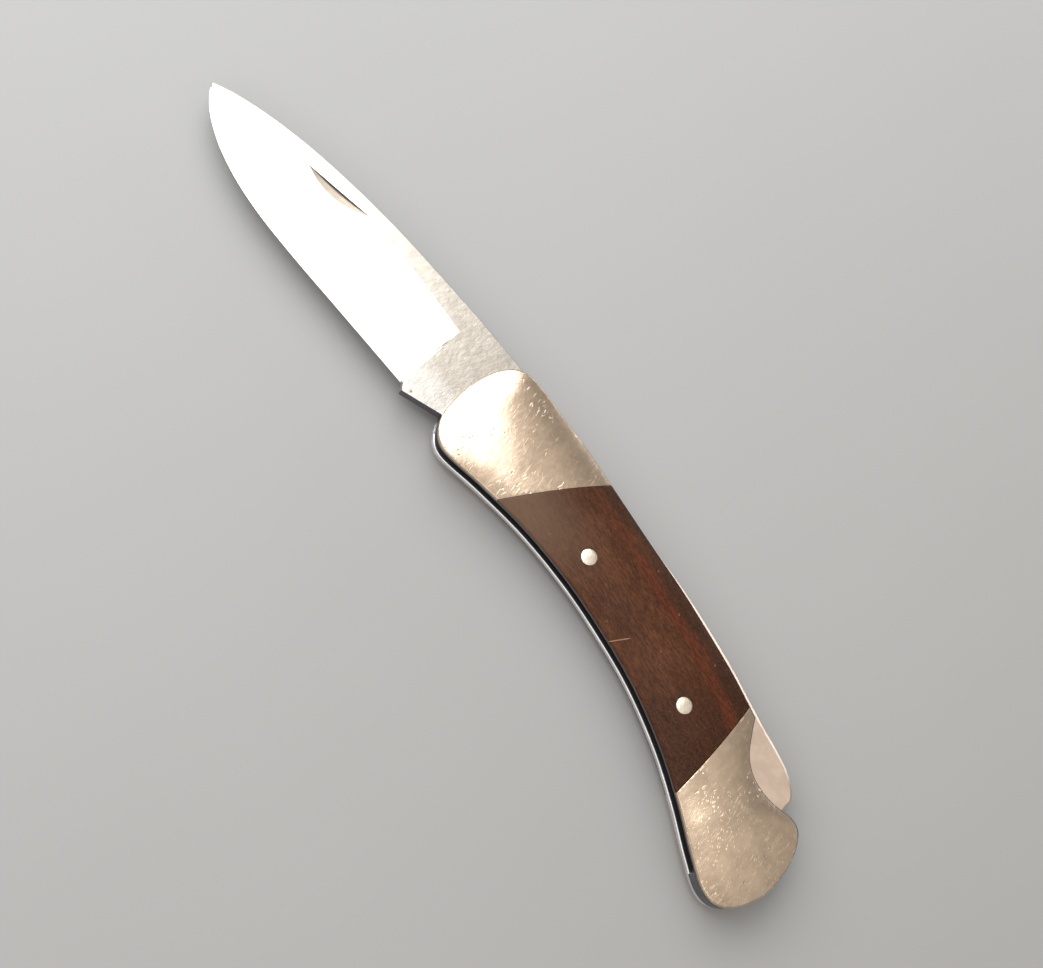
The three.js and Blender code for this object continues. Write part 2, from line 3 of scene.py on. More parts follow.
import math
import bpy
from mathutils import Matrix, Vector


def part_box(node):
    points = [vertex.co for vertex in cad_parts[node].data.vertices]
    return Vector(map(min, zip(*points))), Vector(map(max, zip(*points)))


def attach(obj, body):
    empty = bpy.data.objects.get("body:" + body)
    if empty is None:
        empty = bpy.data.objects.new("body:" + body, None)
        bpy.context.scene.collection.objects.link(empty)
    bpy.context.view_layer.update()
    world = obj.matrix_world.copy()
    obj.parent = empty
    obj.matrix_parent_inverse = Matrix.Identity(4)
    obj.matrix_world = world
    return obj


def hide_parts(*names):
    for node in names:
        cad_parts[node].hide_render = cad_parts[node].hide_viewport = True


bl_info = {
    "name": "Folding Pocket Knife",
    "version": (1, 0, 0),
    "blender": (4, 5, 0),
    "location": "3D View > Sidebar > Knife",
    "description": "Builds an open lockback folding knife around its packed solids",
    "category": "Add Mesh",
}

import bmesh
import bpy
import numpy as np
from bpy.props import FloatProperty, FloatVectorProperty, IntProperty, PointerProperty
from mathutils import Matrix, Vector

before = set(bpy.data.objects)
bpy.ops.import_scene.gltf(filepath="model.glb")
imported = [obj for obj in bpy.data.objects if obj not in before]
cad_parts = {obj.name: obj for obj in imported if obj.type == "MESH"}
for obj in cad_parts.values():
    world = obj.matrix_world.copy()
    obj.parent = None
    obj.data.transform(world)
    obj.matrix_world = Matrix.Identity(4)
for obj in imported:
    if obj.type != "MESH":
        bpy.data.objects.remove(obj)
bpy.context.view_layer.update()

# Shapes are worked out in millimetres and written to meshes in metres
MM = 0.001


def node_heights(name):
    """Lowest and highest Z of a CAD node, in millimetres."""
    low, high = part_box(name)
    return low.z / MM, high.z / MM


BLADE_LOW, BLADE_HIGH = node_heights("blade")
MIDDLE = (BLADE_LOW + BLADE_HIGH) / 2
BLADE_THICKNESS = BLADE_HIGH - BLADE_LOW
LINER_LOW, LINER_HIGH = node_heights("mark_side_liner")
COVER_LOW, COVER_HIGH = node_heights("mark_side_scale")
BAR_LOW, BAR_HIGH = node_heights("lock_bar")
HOLDER_LOW, HOLDER_HIGH = node_heights("spring_holder")
HANDLE_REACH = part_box("mark_side_liner")[1].x / MM
BOLSTER_REACH = -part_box("mark_side_liner")[0].x / MM
BLADE_REACH = -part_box("blade")[0].x / MM
BAR_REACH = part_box("lock_bar")[1].x / MM
PLUNGE_REACH = 16.9
GROUND_LENGTH = BLADE_REACH - PLUNGE_REACH

# Outlines: the handle, the blade and the lock bar, as in the solids


def from_butt(*places):
    """Points given by their distance before the butt and their height."""
    return [(HANDLE_REACH - back, y) for back, y in places]


def from_front(*places):
    """Points given by their distance behind the front bolster's nose and their height."""
    return [(back - BOLSTER_REACH, y) for back, y in places]


def at_waist(*places):
    """Points given by their share of the way from the pivot to the butt and their height."""
    return [(HANDLE_REACH * share, y) for share, y in places]


def on_blade(*places):
    """Points given by their share of the ground length behind the tip and their height."""
    return [(GROUND_LENGTH * share - BLADE_REACH, y) for share, y in places]


def from_bar_end(*places):
    """Points given by their distance before the lock bar's end and their height."""
    return [(BAR_REACH - back, y) for back, y in places]


SCOOP = from_butt(
    (24.35, -0.1), (22.75, -2.6), (20.45, -5.7), (17.65, -7.8), (14.65, -8.7), (11.65, -8.9),
    (8.75, -8.5), (6.2, -8.0), (4.1, -8.5), (2.65, -9.9), (0.8, -13.8), (0, -19),
    (0.5, -23.3), (2.65, -27.9), (4.3, -29.6), (6.3, -30.5), (9.3, -30.3),
)
BELLY = from_butt((14.95, -27.6), (23.45, -22.8)) + at_waist(
    (0.67, -18.3), (0.5475, -14.1), (0.425, -11.6), (0.3255, -10.3), (0.201, -9.85), (0.08, -10.7)
)
FRONT = from_front(
    (6.4, -11.7), (4.1, -11.1), (2.1, -9.3), (0.8, -7.0), (0.15, -3.6), (0, 0),
    (0.4, 3.6), (1.4, 7.2), (2.9, 9.7), (4.5, 11.0), (6.3, 11.6), (9, 11.7),
)
SPINE = at_waist(
    (0.08, 11.15), (0.173, 10.3), (0.265, 8.95), (0.379, 7.3), (0.482, 5.95), (0.5825, 4.1), (0.679, 2.05)
) + [SCOOP[0]]
MIDDLE_LINE = [
    (0, 0.4), *at_waist((0.2, 0.1), (0.4, -2), (0.6, -6)), *from_butt((24.45, -12.4), (11.45, -19.6))
]
FRONT_SEAM = ((11.6, -11.0), (24.4, 9.2))
REAR_SEAM = from_butt((25.15, -22.5), (26.65, 0.7))
SCALE_PINS = ((31.4, -4.6), *from_butt((35.85, -10.0)))
BLADE_SPINE = on_blade(
    (0, 3.4), (0.039, 4.6), (0.138, 6.9), (0.271, 9.0), (0.4415, 10.65), (0.678, 11.8)
) + [(-PLUNGE_REACH - 0.8, 12.15)]
BLADE_EDGE = on_blade(
    (0, 3.4), (0.0075, 2.3), (0.0405, 0.1), (0.081, -1.75), (0.148, -3.9), (0.2185, -5.4),
    (0.2905, -6.45), (0.389, -7.3), (0.539, -7.8), (0.7485, -8.0),
) + [(-PLUNGE_REACH, -8.25)]
KICK = [(-15.62, -9.1), (-15.45, -9.36), (-15.25, -9.5), (-15.0, -9.46)]
RICASSO_BELLY = [(x, -9.55 + 0.345 * (x + 15.2)) for x in (-12, -8, -5, -1.5)]
RICASSO_SPINE = ([-16.8, -BOLSTER_REACH, 1.2], [12.15, 11.875, 11.6])
ROCKER = (40.0, 4.6)
BAR_LOBE = from_bar_end((13.5, 0.45), (8.6, -0.65), (4.3, -1.95), (1.6, -3.5), (0.1, -5.2), (0, -7))
BAR_FRONT_BELLY = [(16.5, 7.2), (27, 4.6), (ROCKER[0], ROCKER[1] - 2.6)]
BAR_REAR_BELLY = [
    *at_waist((0.5035, 0.6), (0.604, -1.7), (0.704, -5.0)),
    *from_bar_end((13.3, -8.9), (7.8, -10.6), (0, -10.7)),
]


def smooth_curve(points, per_span=24):
    """A centripetal Catmull-Rom curve through the points."""
    knots = np.array(points, float)
    knots = np.vstack([2 * knots[0] - knots[1], knots, 2 * knots[-1] - knots[-2]])
    spans = []
    share = np.linspace(0, 1, per_span, endpoint=False)[:, None]
    for i in range(1, len(knots) - 2):
        a, b, c, d = knots[i - 1 : i + 3]
        before, span, after = (np.linalg.norm(v) ** 0.5 for v in (b - a, c - b, d - c))
        leave = ((b - a) / before - (c - a) / (before + span) + (c - b) / span) * span
        reach = ((c - b) / span - (d - b) / (span + after) + (d - c) / after) * span
        cubic = (2 * b - 2 * c + leave + reach) * share**3
        square = (3 * c - 3 * b - 2 * leave - reach) * share**2
        spans.append(b + leave * share + square + cubic)
    spans.append(knots[-2:-1])
    return np.vstack(spans)


def walked(curve):
    """Share of the way along a curve at each of its points, and its length."""
    steps = np.linalg.norm(np.diff(curve, axis=0), axis=1)
    length = np.concatenate([[0], np.cumsum(steps)])
    return length / length[-1], length[-1]


def at_shares(curve, shares):
    """Points at given shares of a curve's length."""
    along, _ = walked(curve)
    return np.column_stack([np.interp(shares, along, curve[:, k]) for k in range(2)])


def evenly(curve, step):
    """Points about one step apart along a curve, both ends kept."""
    _, length = walked(curve)
    return at_shares(curve, np.linspace(0, 1, max(int(round(length / step)), 1) + 1))


def handle_outline(step):
    """The handle's outline, closed, anticlockwise seen from the mark side."""
    ring = evenly(smooth_curve(SCOOP + BELLY + FRONT + SPINE), step)[:-1]
    area = np.sum(ring[:, 0] * np.roll(ring[:, 1], -1) - ring[:, 1] * np.roll(ring[:, 0], -1))
    return ring if area > 0 else ring[::-1]


def smooth_step(value, low, high):
    """Rises smoothly from 0 to 1 between two values."""
    share = np.clip((value - low) / (high - low), 0, 1)
    return share * share * (3 - 2 * share)


# Meshes


def mesh_object(name, vertices, faces):
    """A new object from vertices in millimetres."""
    mesh = bpy.data.meshes.new(name)
    mesh.from_pydata([tuple(MM * c for c in v) for v in vertices], [], faces)
    mesh.validate()
    thing = bpy.data.objects.new(name, mesh)
    bpy.context.scene.collection.objects.link(thing)
    return thing


def remove(thing):
    """Deletes an object with its mesh."""
    mesh = thing.data
    bpy.data.objects.remove(thing)
    bpy.data.meshes.remove(mesh)


def baked(thing):
    """The object with its modifiers worked into a plain mesh."""
    bpy.context.view_layer.update()
    graph = bpy.context.evaluated_depsgraph_get()
    mesh = bpy.data.meshes.new_from_object(thing.evaluated_get(graph), depsgraph=graph)
    old = thing.data
    thing.modifiers.clear()
    thing.data = mesh
    bpy.data.meshes.remove(old)
    return thing


def edited(thing, change):
    """The object with its mesh opened, changed by a function and written back."""
    shape = bmesh.new()
    shape.from_mesh(thing.data)
    change(shape)
    shape.to_mesh(thing.data)
    shape.free()
    return thing


def wall_faces(count, levels):
    """The faces between rings of as many points, each ring above the last."""
    faces = []
    for low in range(0, (levels - 1) * count, count):
        for i in range(count):
            j = (i + 1) % count
            faces.append((low + i, low + j, low + count + j, low + count + i))
    return faces


def cap_faces(count, levels):
    """The lowest ring turned downwards and the highest ring upwards."""
    top = (levels - 1) * count
    return [tuple(range(count))[::-1], tuple(range(top, top + count))]


def levelled_plate(name, outline, levels):
    """A plate from levels, each with how far it lies within the outline and its height,
    as one number or one for each point."""
    ahead = np.roll(outline, -1, axis=0) - np.roll(outline, 1, axis=0)
    inward = np.column_stack([-ahead[:, 1], ahead[:, 0]]) / np.linalg.norm(ahead, axis=1)[:, None]
    count = len(outline)
    vertices = []
    for inset, height in levels:
        places = outline + inward * np.broadcast_to(inset, count)[:, None]
        vertices += [(x, y, z) for (x, y), z in zip(places, np.broadcast_to(height, count))]
    return mesh_object(name, vertices, cap_faces(count, len(levels)) + wall_faces(count, len(levels)))


def plate(name, outline, low, high):
    """A flat plate of an outline between two heights."""
    return levelled_plate(name, np.array(outline, float), [(0, low), (0, high)])


def rounded_plate(name, outline, low, high, low_corner, high_corner):
    """A flat plate whose edges are rounded, each side by its own radius."""
    turns = np.linspace(0, math.pi / 2, 6)
    levels = [(low_corner * (1 - math.sin(t)), low + low_corner * (1 - math.cos(t))) for t in turns]
    levels += [(high_corner * (1 - math.cos(t)), high - high_corner * (1 - math.sin(t))) for t in turns]
    return levelled_plate(name, outline, levels)


def rod(name, x, y, radius, low, high, sides=64):
    """A round rod along Z."""
    turns = np.arange(sides) * 2 * math.pi / sides
    ring = np.column_stack([x + radius * np.cos(turns), y + radius * np.sin(turns)])
    return plate(name, ring, low, high)


def carve(thing, cutter, operation="DIFFERENCE"):
    """Cuts or keeps what a second solid covers, and deletes that solid."""
    tool = thing.modifiers.new("carve", "BOOLEAN")
    tool.operation = operation
    tool.solver = "EXACT"
    tool.material_mode = "TRANSFER" if cutter.data.materials else "INDEX"
    tool.object = cutter
    baked(thing)
    remove(cutter)
    return thing


def soften(thing, width, angle):
    """Breaks the edges sharper than an angle by a small rounding."""
    tool = thing.modifiers.new("soften", "BEVEL")
    tool.width = width
    tool.segments = 2
    tool.limit_method = "ANGLE"
    tool.angle_limit = math.radians(angle)
    tool.miter_outer = "MITER_ARC"
    return baked(thing)


def smooth_faces(thing, angle=28.0):
    """Shades the faces smoothly, except over edges sharper than an angle."""
    mesh = thing.data
    mesh.polygons.foreach_set("use_smooth", np.ones(len(mesh.polygons), bool))
    mesh.set_sharp_from_angle(angle=math.radians(angle))
    mesh.update()
    return thing


def part_finishes(thing):
    """Sharpens the edges along which two materials meet."""

    def sharpen(shape):
        for edge in shape.edges:
            if len({face.material_index for face in edge.link_faces}) > 1:
                edge.smooth = False

    return edited(thing, sharpen)


def outward(thing):
    """Turns every face outwards."""
    return edited(thing, lambda shape: bmesh.ops.recalc_face_normals(shape, faces=shape.faces))


def copy_of(thing, name):
    """A second object with its own copy of the mesh."""
    twin = bpy.data.objects.new(name, thing.data.copy())
    bpy.context.scene.collection.objects.link(twin)
    return twin


def turned_over(thing, name):
    """The same piece on the pile side: mirrored in the knife's middle plane."""

    def mirror(shape):
        for vertex in shape.verts:
            vertex.co.z = 2 * MIDDLE * MM - vertex.co.z
        bmesh.ops.recalc_face_normals(shape, faces=shape.faces)

    return edited(copy_of(thing, name), mirror)


def set_material(thing, *materials):
    """Gives an object these materials and no others."""
    thing.data.materials.clear()
    for material in materials:
        thing.data.materials.append(material)
    return thing


def darken(thing, rule):
    """Gives the second material, the dark metal of painted shade, to the faces that meet a rule."""
    for face in thing.data.polygons:
        face.material_index = int(rule(face))


def finish_piece(thing, body, slot, *nodes):
    """Rides a finished piece on its body, in place of its CAD nodes."""
    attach(thing, body)
    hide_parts(*nodes)
    return thing


# Shader and geometry trees


class Number:
    """A socket that carries numbers, for arithmetic in plain Python."""

    def __init__(self, tree, socket):
        self.tree = tree
        self.socket = socket

    def __add__(self, other):
        return self.tree.maths("ADD", self, other)

    def __sub__(self, other):
        return self.tree.maths("SUBTRACT", self, other)

    def __rsub__(self, other):
        return self.tree.maths("SUBTRACT", other, self)

    def __mul__(self, other):
        return self.tree.maths("MULTIPLY", self, other)

    def __truediv__(self, other):
        return self.tree.maths("DIVIDE", self, other)

    def __pow__(self, other):
        return self.tree.maths("POWER", self, other)

    def above(self, edge, width):
        """Rises smoothly from 0 to 1 as the number passes an edge."""
        sockets = {"Value": self, "From Min": edge - width / 2, "From Max": edge + width / 2}
        ramp = self.tree.node("ShaderNodeMapRange", sockets, interpolation_type="SMOOTHSTEP")
        return self.tree.number(ramp)

    def below(self, edge, width):
        """Falls smoothly from 1 to 0 as the number passes an edge."""
        return 1 - self.above(edge, width)

    def clamped(self):
        return self.tree.maths("ADD", self, 0.0, clamp=True)

    def absolute(self):
        return self.tree.maths("ABSOLUTE", self)


class Tree:
    """A node tree that is written as expressions."""

    def __init__(self, tree):
        self.tree = tree

    def node(self, kind, sockets=None, **settings):
        """A new node with its settings made and its sockets fed."""
        node = self.tree.nodes.new(kind)
        for key, value in settings.items():
            setattr(node, key, value)
        for key, value in (sockets or {}).items():
            self.feed(node.inputs[key], value)
        return node

    def feed(self, socket, value):
        """Links a socket to a number or to another socket, or sets it to a value."""
        if isinstance(value, Number):
            value = value.socket
        if isinstance(value, bpy.types.NodeSocket):
            self.tree.links.new(value, socket)
        elif socket.type == "RGBA":
            socket.default_value = (*value[:3], 1)
        else:
            socket.default_value = value

    def number(self, node, output=0):
        return Number(self, node.outputs[output])

    def maths(self, operation, *values, clamp=False):
        """The number that one operation makes of others."""
        sockets = dict(enumerate(values))
        return self.number(self.node("ShaderNodeMath", sockets, operation=operation, use_clamp=clamp))

    def parts(self, vector):
        """The X, Y and Z of a vector."""
        split = self.node("ShaderNodeSeparateXYZ", {0: vector})
        return [self.number(split, axis) for axis in range(3)]

    def mix(self, share, first, second):
        """A colour between two colours."""
        node = self.node("ShaderNodeMix", data_type="RGBA")
        colours = [socket for socket in node.inputs if socket.type == "RGBA"]
        for socket, value in zip((node.inputs[0], *colours), (share, first, second)):
            self.feed(socket, value)
        return [socket for socket in node.outputs if socket.type == "RGBA"][0]


class Finish(Tree):
    """A material with one Principled shader, placed by object coordinates in millimetres."""

    def __init__(self, name, colour, metallic, roughness):
        self.material = bpy.data.materials.new(name)
        self.material.use_nodes = True
        super().__init__(self.material.node_tree)
        self.tree.nodes.clear()
        sockets = {"Base Color": colour, "Metallic": metallic, "Roughness": roughness}
        self.shader = self.node("ShaderNodeBsdfPrincipled", sockets)
        self.node("ShaderNodeOutputMaterial", {"Surface": self.shader.outputs[0]})
        place = self.node("ShaderNodeTexCoord").outputs["Object"]
        scaled = self.node("ShaderNodeVectorMath", {0: place, "Scale": 1 / MM}, operation="SCALE")
        self.place = scaled.outputs[0]

    def turned(self, degrees, stretch=(1, 1, 1)):
        """The place turned in the blade's plane, then stretched."""
        sockets = {"Vector": self.place, "Angle": math.radians(degrees)}
        turn = self.node("ShaderNodeVectorRotate", sockets, rotation_type="Z_AXIS")
        scale = self.node("ShaderNodeVectorMath", {0: turn.outputs[0], 1: stretch}, operation="MULTIPLY")
        return scale.outputs[0]

    def noise(self, place, scale, detail=3.0, rough=0.55, twist=0.0):
        sockets = {
            "Vector": place, "Scale": scale, "Detail": detail, "Roughness": rough, "Distortion": twist,
        }
        return self.number(self.node("ShaderNodeTexNoise", sockets, noise_dimensions="3D"))

    def grain(self, stretch, detail, rough=0.55, twist=0.0):
        """Noise drawn out along the handle's grain."""
        return self.noise(self.turned(GRAIN_TURN, stretch), 1.0, detail, rough, twist)

    def scratches(self, *rows):
        """Separate short strokes, from 0 to 1. Each row has their direction in degrees, the
        length and the width of the cells they lie in, a seed, and the share of cells with one."""
        total = None
        for degrees, length, spacing, seed, share in rows:
            place = self.turned(degrees, (1 / length, 1 / spacing, 0))
            shift = {0: place, 1: (seed * 7.3, seed * 3.1, seed)}
            moved = self.node("ShaderNodeVectorMath", shift, operation="ADD")
            cells = self.node("ShaderNodeTexVoronoi", {"Vector": moved.outputs[0], "Scale": 1.0})
            chosen = self.parts(cells.outputs["Color"])[0].above(1 - share, 0.02)
            strokes = self.number(cells, "Distance").below(0.3, 0.3) * chosen
            total = total + strokes if total else strokes
        return total

    def one_stroke(self, middle, degrees, half_length, half_width):
        """A single straight mark through a place, from 0 to 1."""
        x, y, _ = self.parts(self.place)
        across_x, across_y = x - middle[0], y - middle[1]
        turn = math.radians(degrees)
        ahead = across_x * math.cos(turn) + across_y * math.sin(turn)
        aside = across_y * math.cos(turn) - across_x * math.sin(turn)
        within = ahead.absolute().below(half_length, half_length * 0.4)
        return within * aside.absolute().below(half_width, half_width)

    def bump(self, height, distance):
        """Adds relief of a distance in millimetres to the surface."""
        node = self.node("ShaderNodeBump", {"Strength": 1.0, "Distance": distance * MM, "Height": height})
        self.feed(self.shader.inputs["Normal"], node.outputs[0])

    def give(self, **sockets):
        """Feeds the shader's sockets, named with underscores, and returns the material."""
        for key, value in sockets.items():
            self.feed(self.shader.inputs[key.replace("_", " ")], value)
        return self.material


def geometry_tree(name, kinds):
    """A geometry tree with a geometry input and output and the named inputs."""
    tree = bpy.data.node_groups.new(name, "GeometryNodeTree")
    tree.interface.new_socket("Geometry", in_out="INPUT", socket_type="NodeSocketGeometry")
    for label, kind in kinds.items():
        tree.interface.new_socket(label, in_out="INPUT", socket_type=f"NodeSocket{kind}")
    tree.interface.new_socket("Geometry", in_out="OUTPUT", socket_type="NodeSocketGeometry")
    maker = Tree(tree)
    return maker, maker.node("NodeGroupInput"), maker.node("NodeGroupOutput")


def lifted(maker, mesh, height):
    """Moves every point up by a number."""
    lift = maker.node("ShaderNodeCombineXYZ", {"Z": height})
    return maker.node("GeometryNodeSetPosition", {"Geometry": mesh, "Offset": lift.outputs[0]}).outputs[0]


def realized(maker, mesh):
    return maker.node("GeometryNodeRealizeInstances", {"Geometry": mesh}).outputs[0]


def dressed(maker, mesh, material, chosen=True):
    """Gives a material to the chosen faces."""
    sockets = {"Geometry": mesh, "Selection": chosen, "Material": material}
    return maker.node("GeometryNodeSetMaterial", sockets).outputs[0]


def named(maker, label):
    """The numbers that the points carry under a label."""
    node = maker.node("GeometryNodeInputNamedAttribute", {"Name": label}, data_type="FLOAT")
    return maker.number(node, "Attribute")


def point_values(thing, label, values):
    """Writes one number for each point of a mesh under a label."""
    attribute = thing.data.attributes.new(label, "FLOAT", "POINT")
    attribute.data.foreach_set("value", np.asarray(values, np.float32))


def run_tree(thing, tree, values):
    """Runs a geometry tree on an object with the given inputs and works it into a mesh."""
    tool = thing.modifiers.new(tree.name, "NODES")
    tool.node_group = tree
    for item in tree.interface.items_tree:
        if item.in_out == "INPUT" and item.name in values:
            tool[item.identifier] = values[item.name]
    return baked(thing)


# Finishes

GRAIN_TURN = 10.0
SPINE_OF_WOOD = ((24.0, 9.6), 0.12, 0.0015)
# Painted reflection: the paler colour towards the ricasso's lower edge
LOWER_SHEEN_STEEL = (0.63, 0.61, 0.58)
WORN_WOOD = (0.42, 0.24, 0.15)
# Painted sheen: the lamp's reflection at the front of the scales' belly
PAINTED_SHEEN_WOOD = (0.19, 0.125, 0.085)
DULL_ROUGHNESS = 0.35


def shade(colour, share):
    """A colour made darker or paler by a share."""
    return [min(c * share, 1) for c in colour]


def steel(name, colour, roughness, relief, lower_sheen=0.0):
    """Polished steel: slight ripples, a faint polishing grain and stray scratches.
    The last share sets how much paler the ricasso is painted towards its lower edge: painted reflection."""
    finish = Finish(name, colour, 1.0, roughness)
    _, y, _ = finish.parts(finish.place)
    cloud = finish.noise(finish.place, 0.14, 2.0)
    ripple = finish.noise(finish.turned(20, (0.8, 0.55, 0.5)), 1.0, 2.0)
    grain = finish.noise(finish.turned(70, (0.25, 3.0, 1)), 1.0, 1.0)
    marks = finish.scratches((84, 1.6, 0.3, 1, 0.10), (112, 1.3, 0.3, 2, 0.07))
    tint = finish.mix(cloud.above(0.5, 0.5), colour, shade(colour, 0.93))
    tint = finish.mix(ripple.above(0.5, 0.3) * 0.5 + marks * 0.2, tint, shade(colour, 1.16))
    # Painted reflection: the ricasso is painted paler towards its lower edge
    low = (y + (ripple - 0.5) * 4.0).below(-2.5, 4.5)
    tint = finish.mix(low * lower_sheen, tint, LOWER_SHEEN_STEEL)
    finish.bump(grain * 0.04 + ripple * 0.75 + cloud * 1.2 - marks * 0.12, relief)
    return finish.give(Base_Color=tint, Roughness=marks * 0.1 + (cloud * 0.06 + (roughness - 0.03)))


def bolster_metal(colour):
    """Worn nickel silver: satin, with clusters of short bright strokes and small dings."""
    finish = Finish("bolster_nickel_silver", colour, 1.0, 0.2)
    x, y, _ = finish.parts(finish.place)
    cloud = finish.noise(finish.place, 0.11, 3.0)
    swell = finish.noise(finish.place, 0.33, 2.0)
    ripple = finish.noise(finish.turned(80, (0.6, 1.1, 0.9)), 1.0, 2.0)
    patches = finish.noise(finish.place, 0.16, 2.0).above(0.5, 0.2)
    rear_belly = x.above(78.0, 4.0) * y.below(-13.0, 4.0)
    strokes = finish.scratches((80, 2.2, 0.4, 3, 0.16), (102, 1.6, 0.36, 4, 0.16), (62, 1.4, 0.34, 5, 0.10))
    strokes = strokes * (patches * 0.8 + 0.2) + finish.scratches((54, 0.8, 0.3, 9, 0.3)) * rear_belly
    strokes = strokes.clamped()
    hair = finish.scratches((76, 4.5, 0.24, 6, 0.16), (40, 3.0, 0.24, 7, 0.10))
    dings = finish.scratches((10, 0.8, 0.7, 8, 0.12)) * patches
    tint = finish.mix(cloud.above(0.5, 0.35), shade(colour, 1.05), shade(colour, 0.84))
    tint = finish.mix(ripple.above(0.55, 0.3) * 0.35, tint, shade(colour, 1.25))
    tint = finish.mix(swell.above(0.56, 0.2) * 0.4, tint, shade(colour, 0.78))
    tint = finish.mix(strokes * 0.7, tint, shade(colour, 1.4))
    relief = strokes * 0.6 + hair.clamped() * 0.2 - dings * 1.8 + ripple * 0.6 + swell * 1.0 + cloud
    finish.bump(relief, 0.03)
    return finish.give(Base_Color=tint, Roughness=cloud * 0.1 + strokes * 0.12 + 0.18)


def scale_wood(dark, brown, red):
    """Dark oiled rosewood: fine straight grain, a red band that runs along the spine and grows
    towards the butt, painted shade along the spine edge and a painted sheen at the front of the belly."""
    finish = Finish("scale_rosewood", dark, 0.0, 0.42)
    x, y, _ = finish.parts(finish.place)
    (start, height), slope, bend = SPINE_OF_WOOD
    ahead = x - start
    depth = height - ahead * slope - ahead * ahead * bend - y
    broad = finish.grain((0.06, 0.16, 0.1), 3.0, 0.55, 0.4)
    middle = finish.grain((0.16, 0.5, 0.4), 4.0, 0.65, 0.7)
    fibre = finish.grain((0.6, 2.2, 2.0), 3.0, 0.6)
    fine = finish.grain((1.0, 3.2, 3.0), 2.0, 0.6, 2.3)
    pores = finish.scratches((GRAIN_TURN, 1.4, 0.3, 11, 0.07))
    specks = finish.scratches((33, 0.8, 0.65, 12, 0.006))
    nick = finish.one_stroke((46.6, -10.7), 55.5, 1.9, 0.1)
    wander = depth + (broad - 0.5) * 5.0
    band = wander.above(3.2, 1.6) * wander.below(6.0, 2.4) * x.above(34.0, 36.0)
    painted_sheen = x.below(27.0, 24.0) * y.below(-2.0, 14.0)
    tone = finish.mix((middle * 0.5 + broad * 0.7).above(0.56, 0.55), dark, brown)
    tone = finish.mix(x.above(62.0, 24.0) * 0.9, tone, dark)
    tone = finish.mix(band * (middle.above(0.42, 0.4) * 0.7 + 0.3), tone, red)
    # Painted shade: darker near the spine edge, where the crown rounds off
    tone = finish.mix(wander.below(2.6, 2.4) * 0.75, tone, shade(dark, 0.75))
    tone = finish.mix(fibre.above(0.48, 0.25) * 0.6, tone, shade(dark, 0.55))
    tone = finish.mix(fine.above(0.52, 0.25) * 0.3, tone, shade(brown, 1.5))
    tone = finish.mix(pores * 0.4, tone, shade(dark, 0.3))
    # Painted sheen: paler towards the front of the belly, a painted reflection of the lamp
    tone = finish.mix(painted_sheen * 0.6, tone, PAINTED_SHEEN_WOOD)
    tone = finish.mix(specks * 0.35 + nick * 0.7, tone, WORN_WOOD)
    finish.bump(fibre * 0.3 - pores * 0.4 + middle * 0.7 - nick * 1.5, 0.03)
    roughness = fibre * 0.1 + middle * 0.08 + 0.3
    return finish.give(Base_Color=tone, Roughness=roughness, Specular_IOR_Level=0.2)


def plain_metal(name, colour, roughness, relief=0.006):
    """Metal with a light cloudiness and fine strokes, for the small parts."""
    finish = Finish(name, colour, 1.0, roughness)
    cloud = finish.noise(finish.place, 0.3, 3.0)
    tint = finish.mix(cloud.above(0.5, 0.3), colour, shade(colour, 0.86))
    finish.bump(finish.grain((0.3, 2.0, 2.0), 2.0) * 0.2 + cloud, relief)
    return finish.give(Base_Color=tint, Roughness=cloud * 0.08 + (roughness - 0.04))


def painted_shade_metal(name, context, roughness=DULL_ROUGHNESS):
    """Dark metal as painted shade, for inner faces and for faces turned away from the light."""
    return plain_metal(name, context.scene.knife_liners.painted_shade_colour, roughness)


def pin_metal(colour):
    """Pale pin heads with shallow hammer marks."""
    finish = Finish("pin_metal", colour, 1.0, 0.4)
    marks = finish.noise(finish.place, 0.9, 2.0)
    fine = finish.noise(finish.place, 3.0, 2.0)
    tint = finish.mix(marks.above(0.5, 0.3), colour, shade(colour, 0.9))
    finish.bump(marks * 1.0 + fine * 0.15, 0.1)
    return finish.give(Base_Color=tint, Roughness=fine * 0.15 + 0.36)


# Settings


def length_setting(name, text, default):
    return FloatProperty(
        name=name, description=text, default=default, min=0.0, max=0.05, precision=5, unit="LENGTH"
    )


def colour_setting(name, text, default):
    return FloatVectorProperty(
        name=name, description=text, default=default, size=3, min=0.0, max=1.0, subtype="COLOR"
    )


def power_setting(name, text, default):
    return FloatProperty(name=name, description=text, default=default, min=0)


class BladeSettings(bpy.types.PropertyGroup):
    edge_half: length_setting("Edge half thickness", "Half the thickness behind the edge bevel", 0.0002)
    bevel_width: length_setting("Edge bevel", "Width of the sharpened bevel", 0.0005)
    hollow_power: FloatProperty(
        name="Hollow", description="How concave the hollow grind is", default=1.6, min=1.0, max=3.0
    )
    flat_depth: length_setting("Flat at the ricasso", "Depth of the flat below the spine", 0.0049)
    flat_tip_depth: length_setting("Flat at the tip", "Depth of the flat near the tip", 0.001)
    plunge_length: length_setting("Plunge length", "Length over which the grind runs out", 0.0006)
    plunge_corner: length_setting("Plunge corner", "Radius of the grind's upper corner", 0.0013)
    nick_depth: length_setting("Nick depth", "Depth of the nail nick", 0.00048)
    nick_length: length_setting("Nick length", "Length of the nail nick", 0.0148)
    nick_width: length_setting("Nick width", "Width of the nail nick", 0.0026)
    ground_colour: colour_setting("Grind", "Colour of the polished grind", (0.88, 0.86, 0.83))
    # The flat's darker, warmer colour is partly its satin finish and partly painted reflection
    flat_colour: colour_setting("Flat", "Colour of the flat and the ricasso", (0.50, 0.47, 0.425))
    # Painted shade: the nail nick and the small pit are coloured darker than the grind
    nick_colour: colour_setting("Nick", "Colour inside the nail nick", (0.42, 0.37, 0.31))


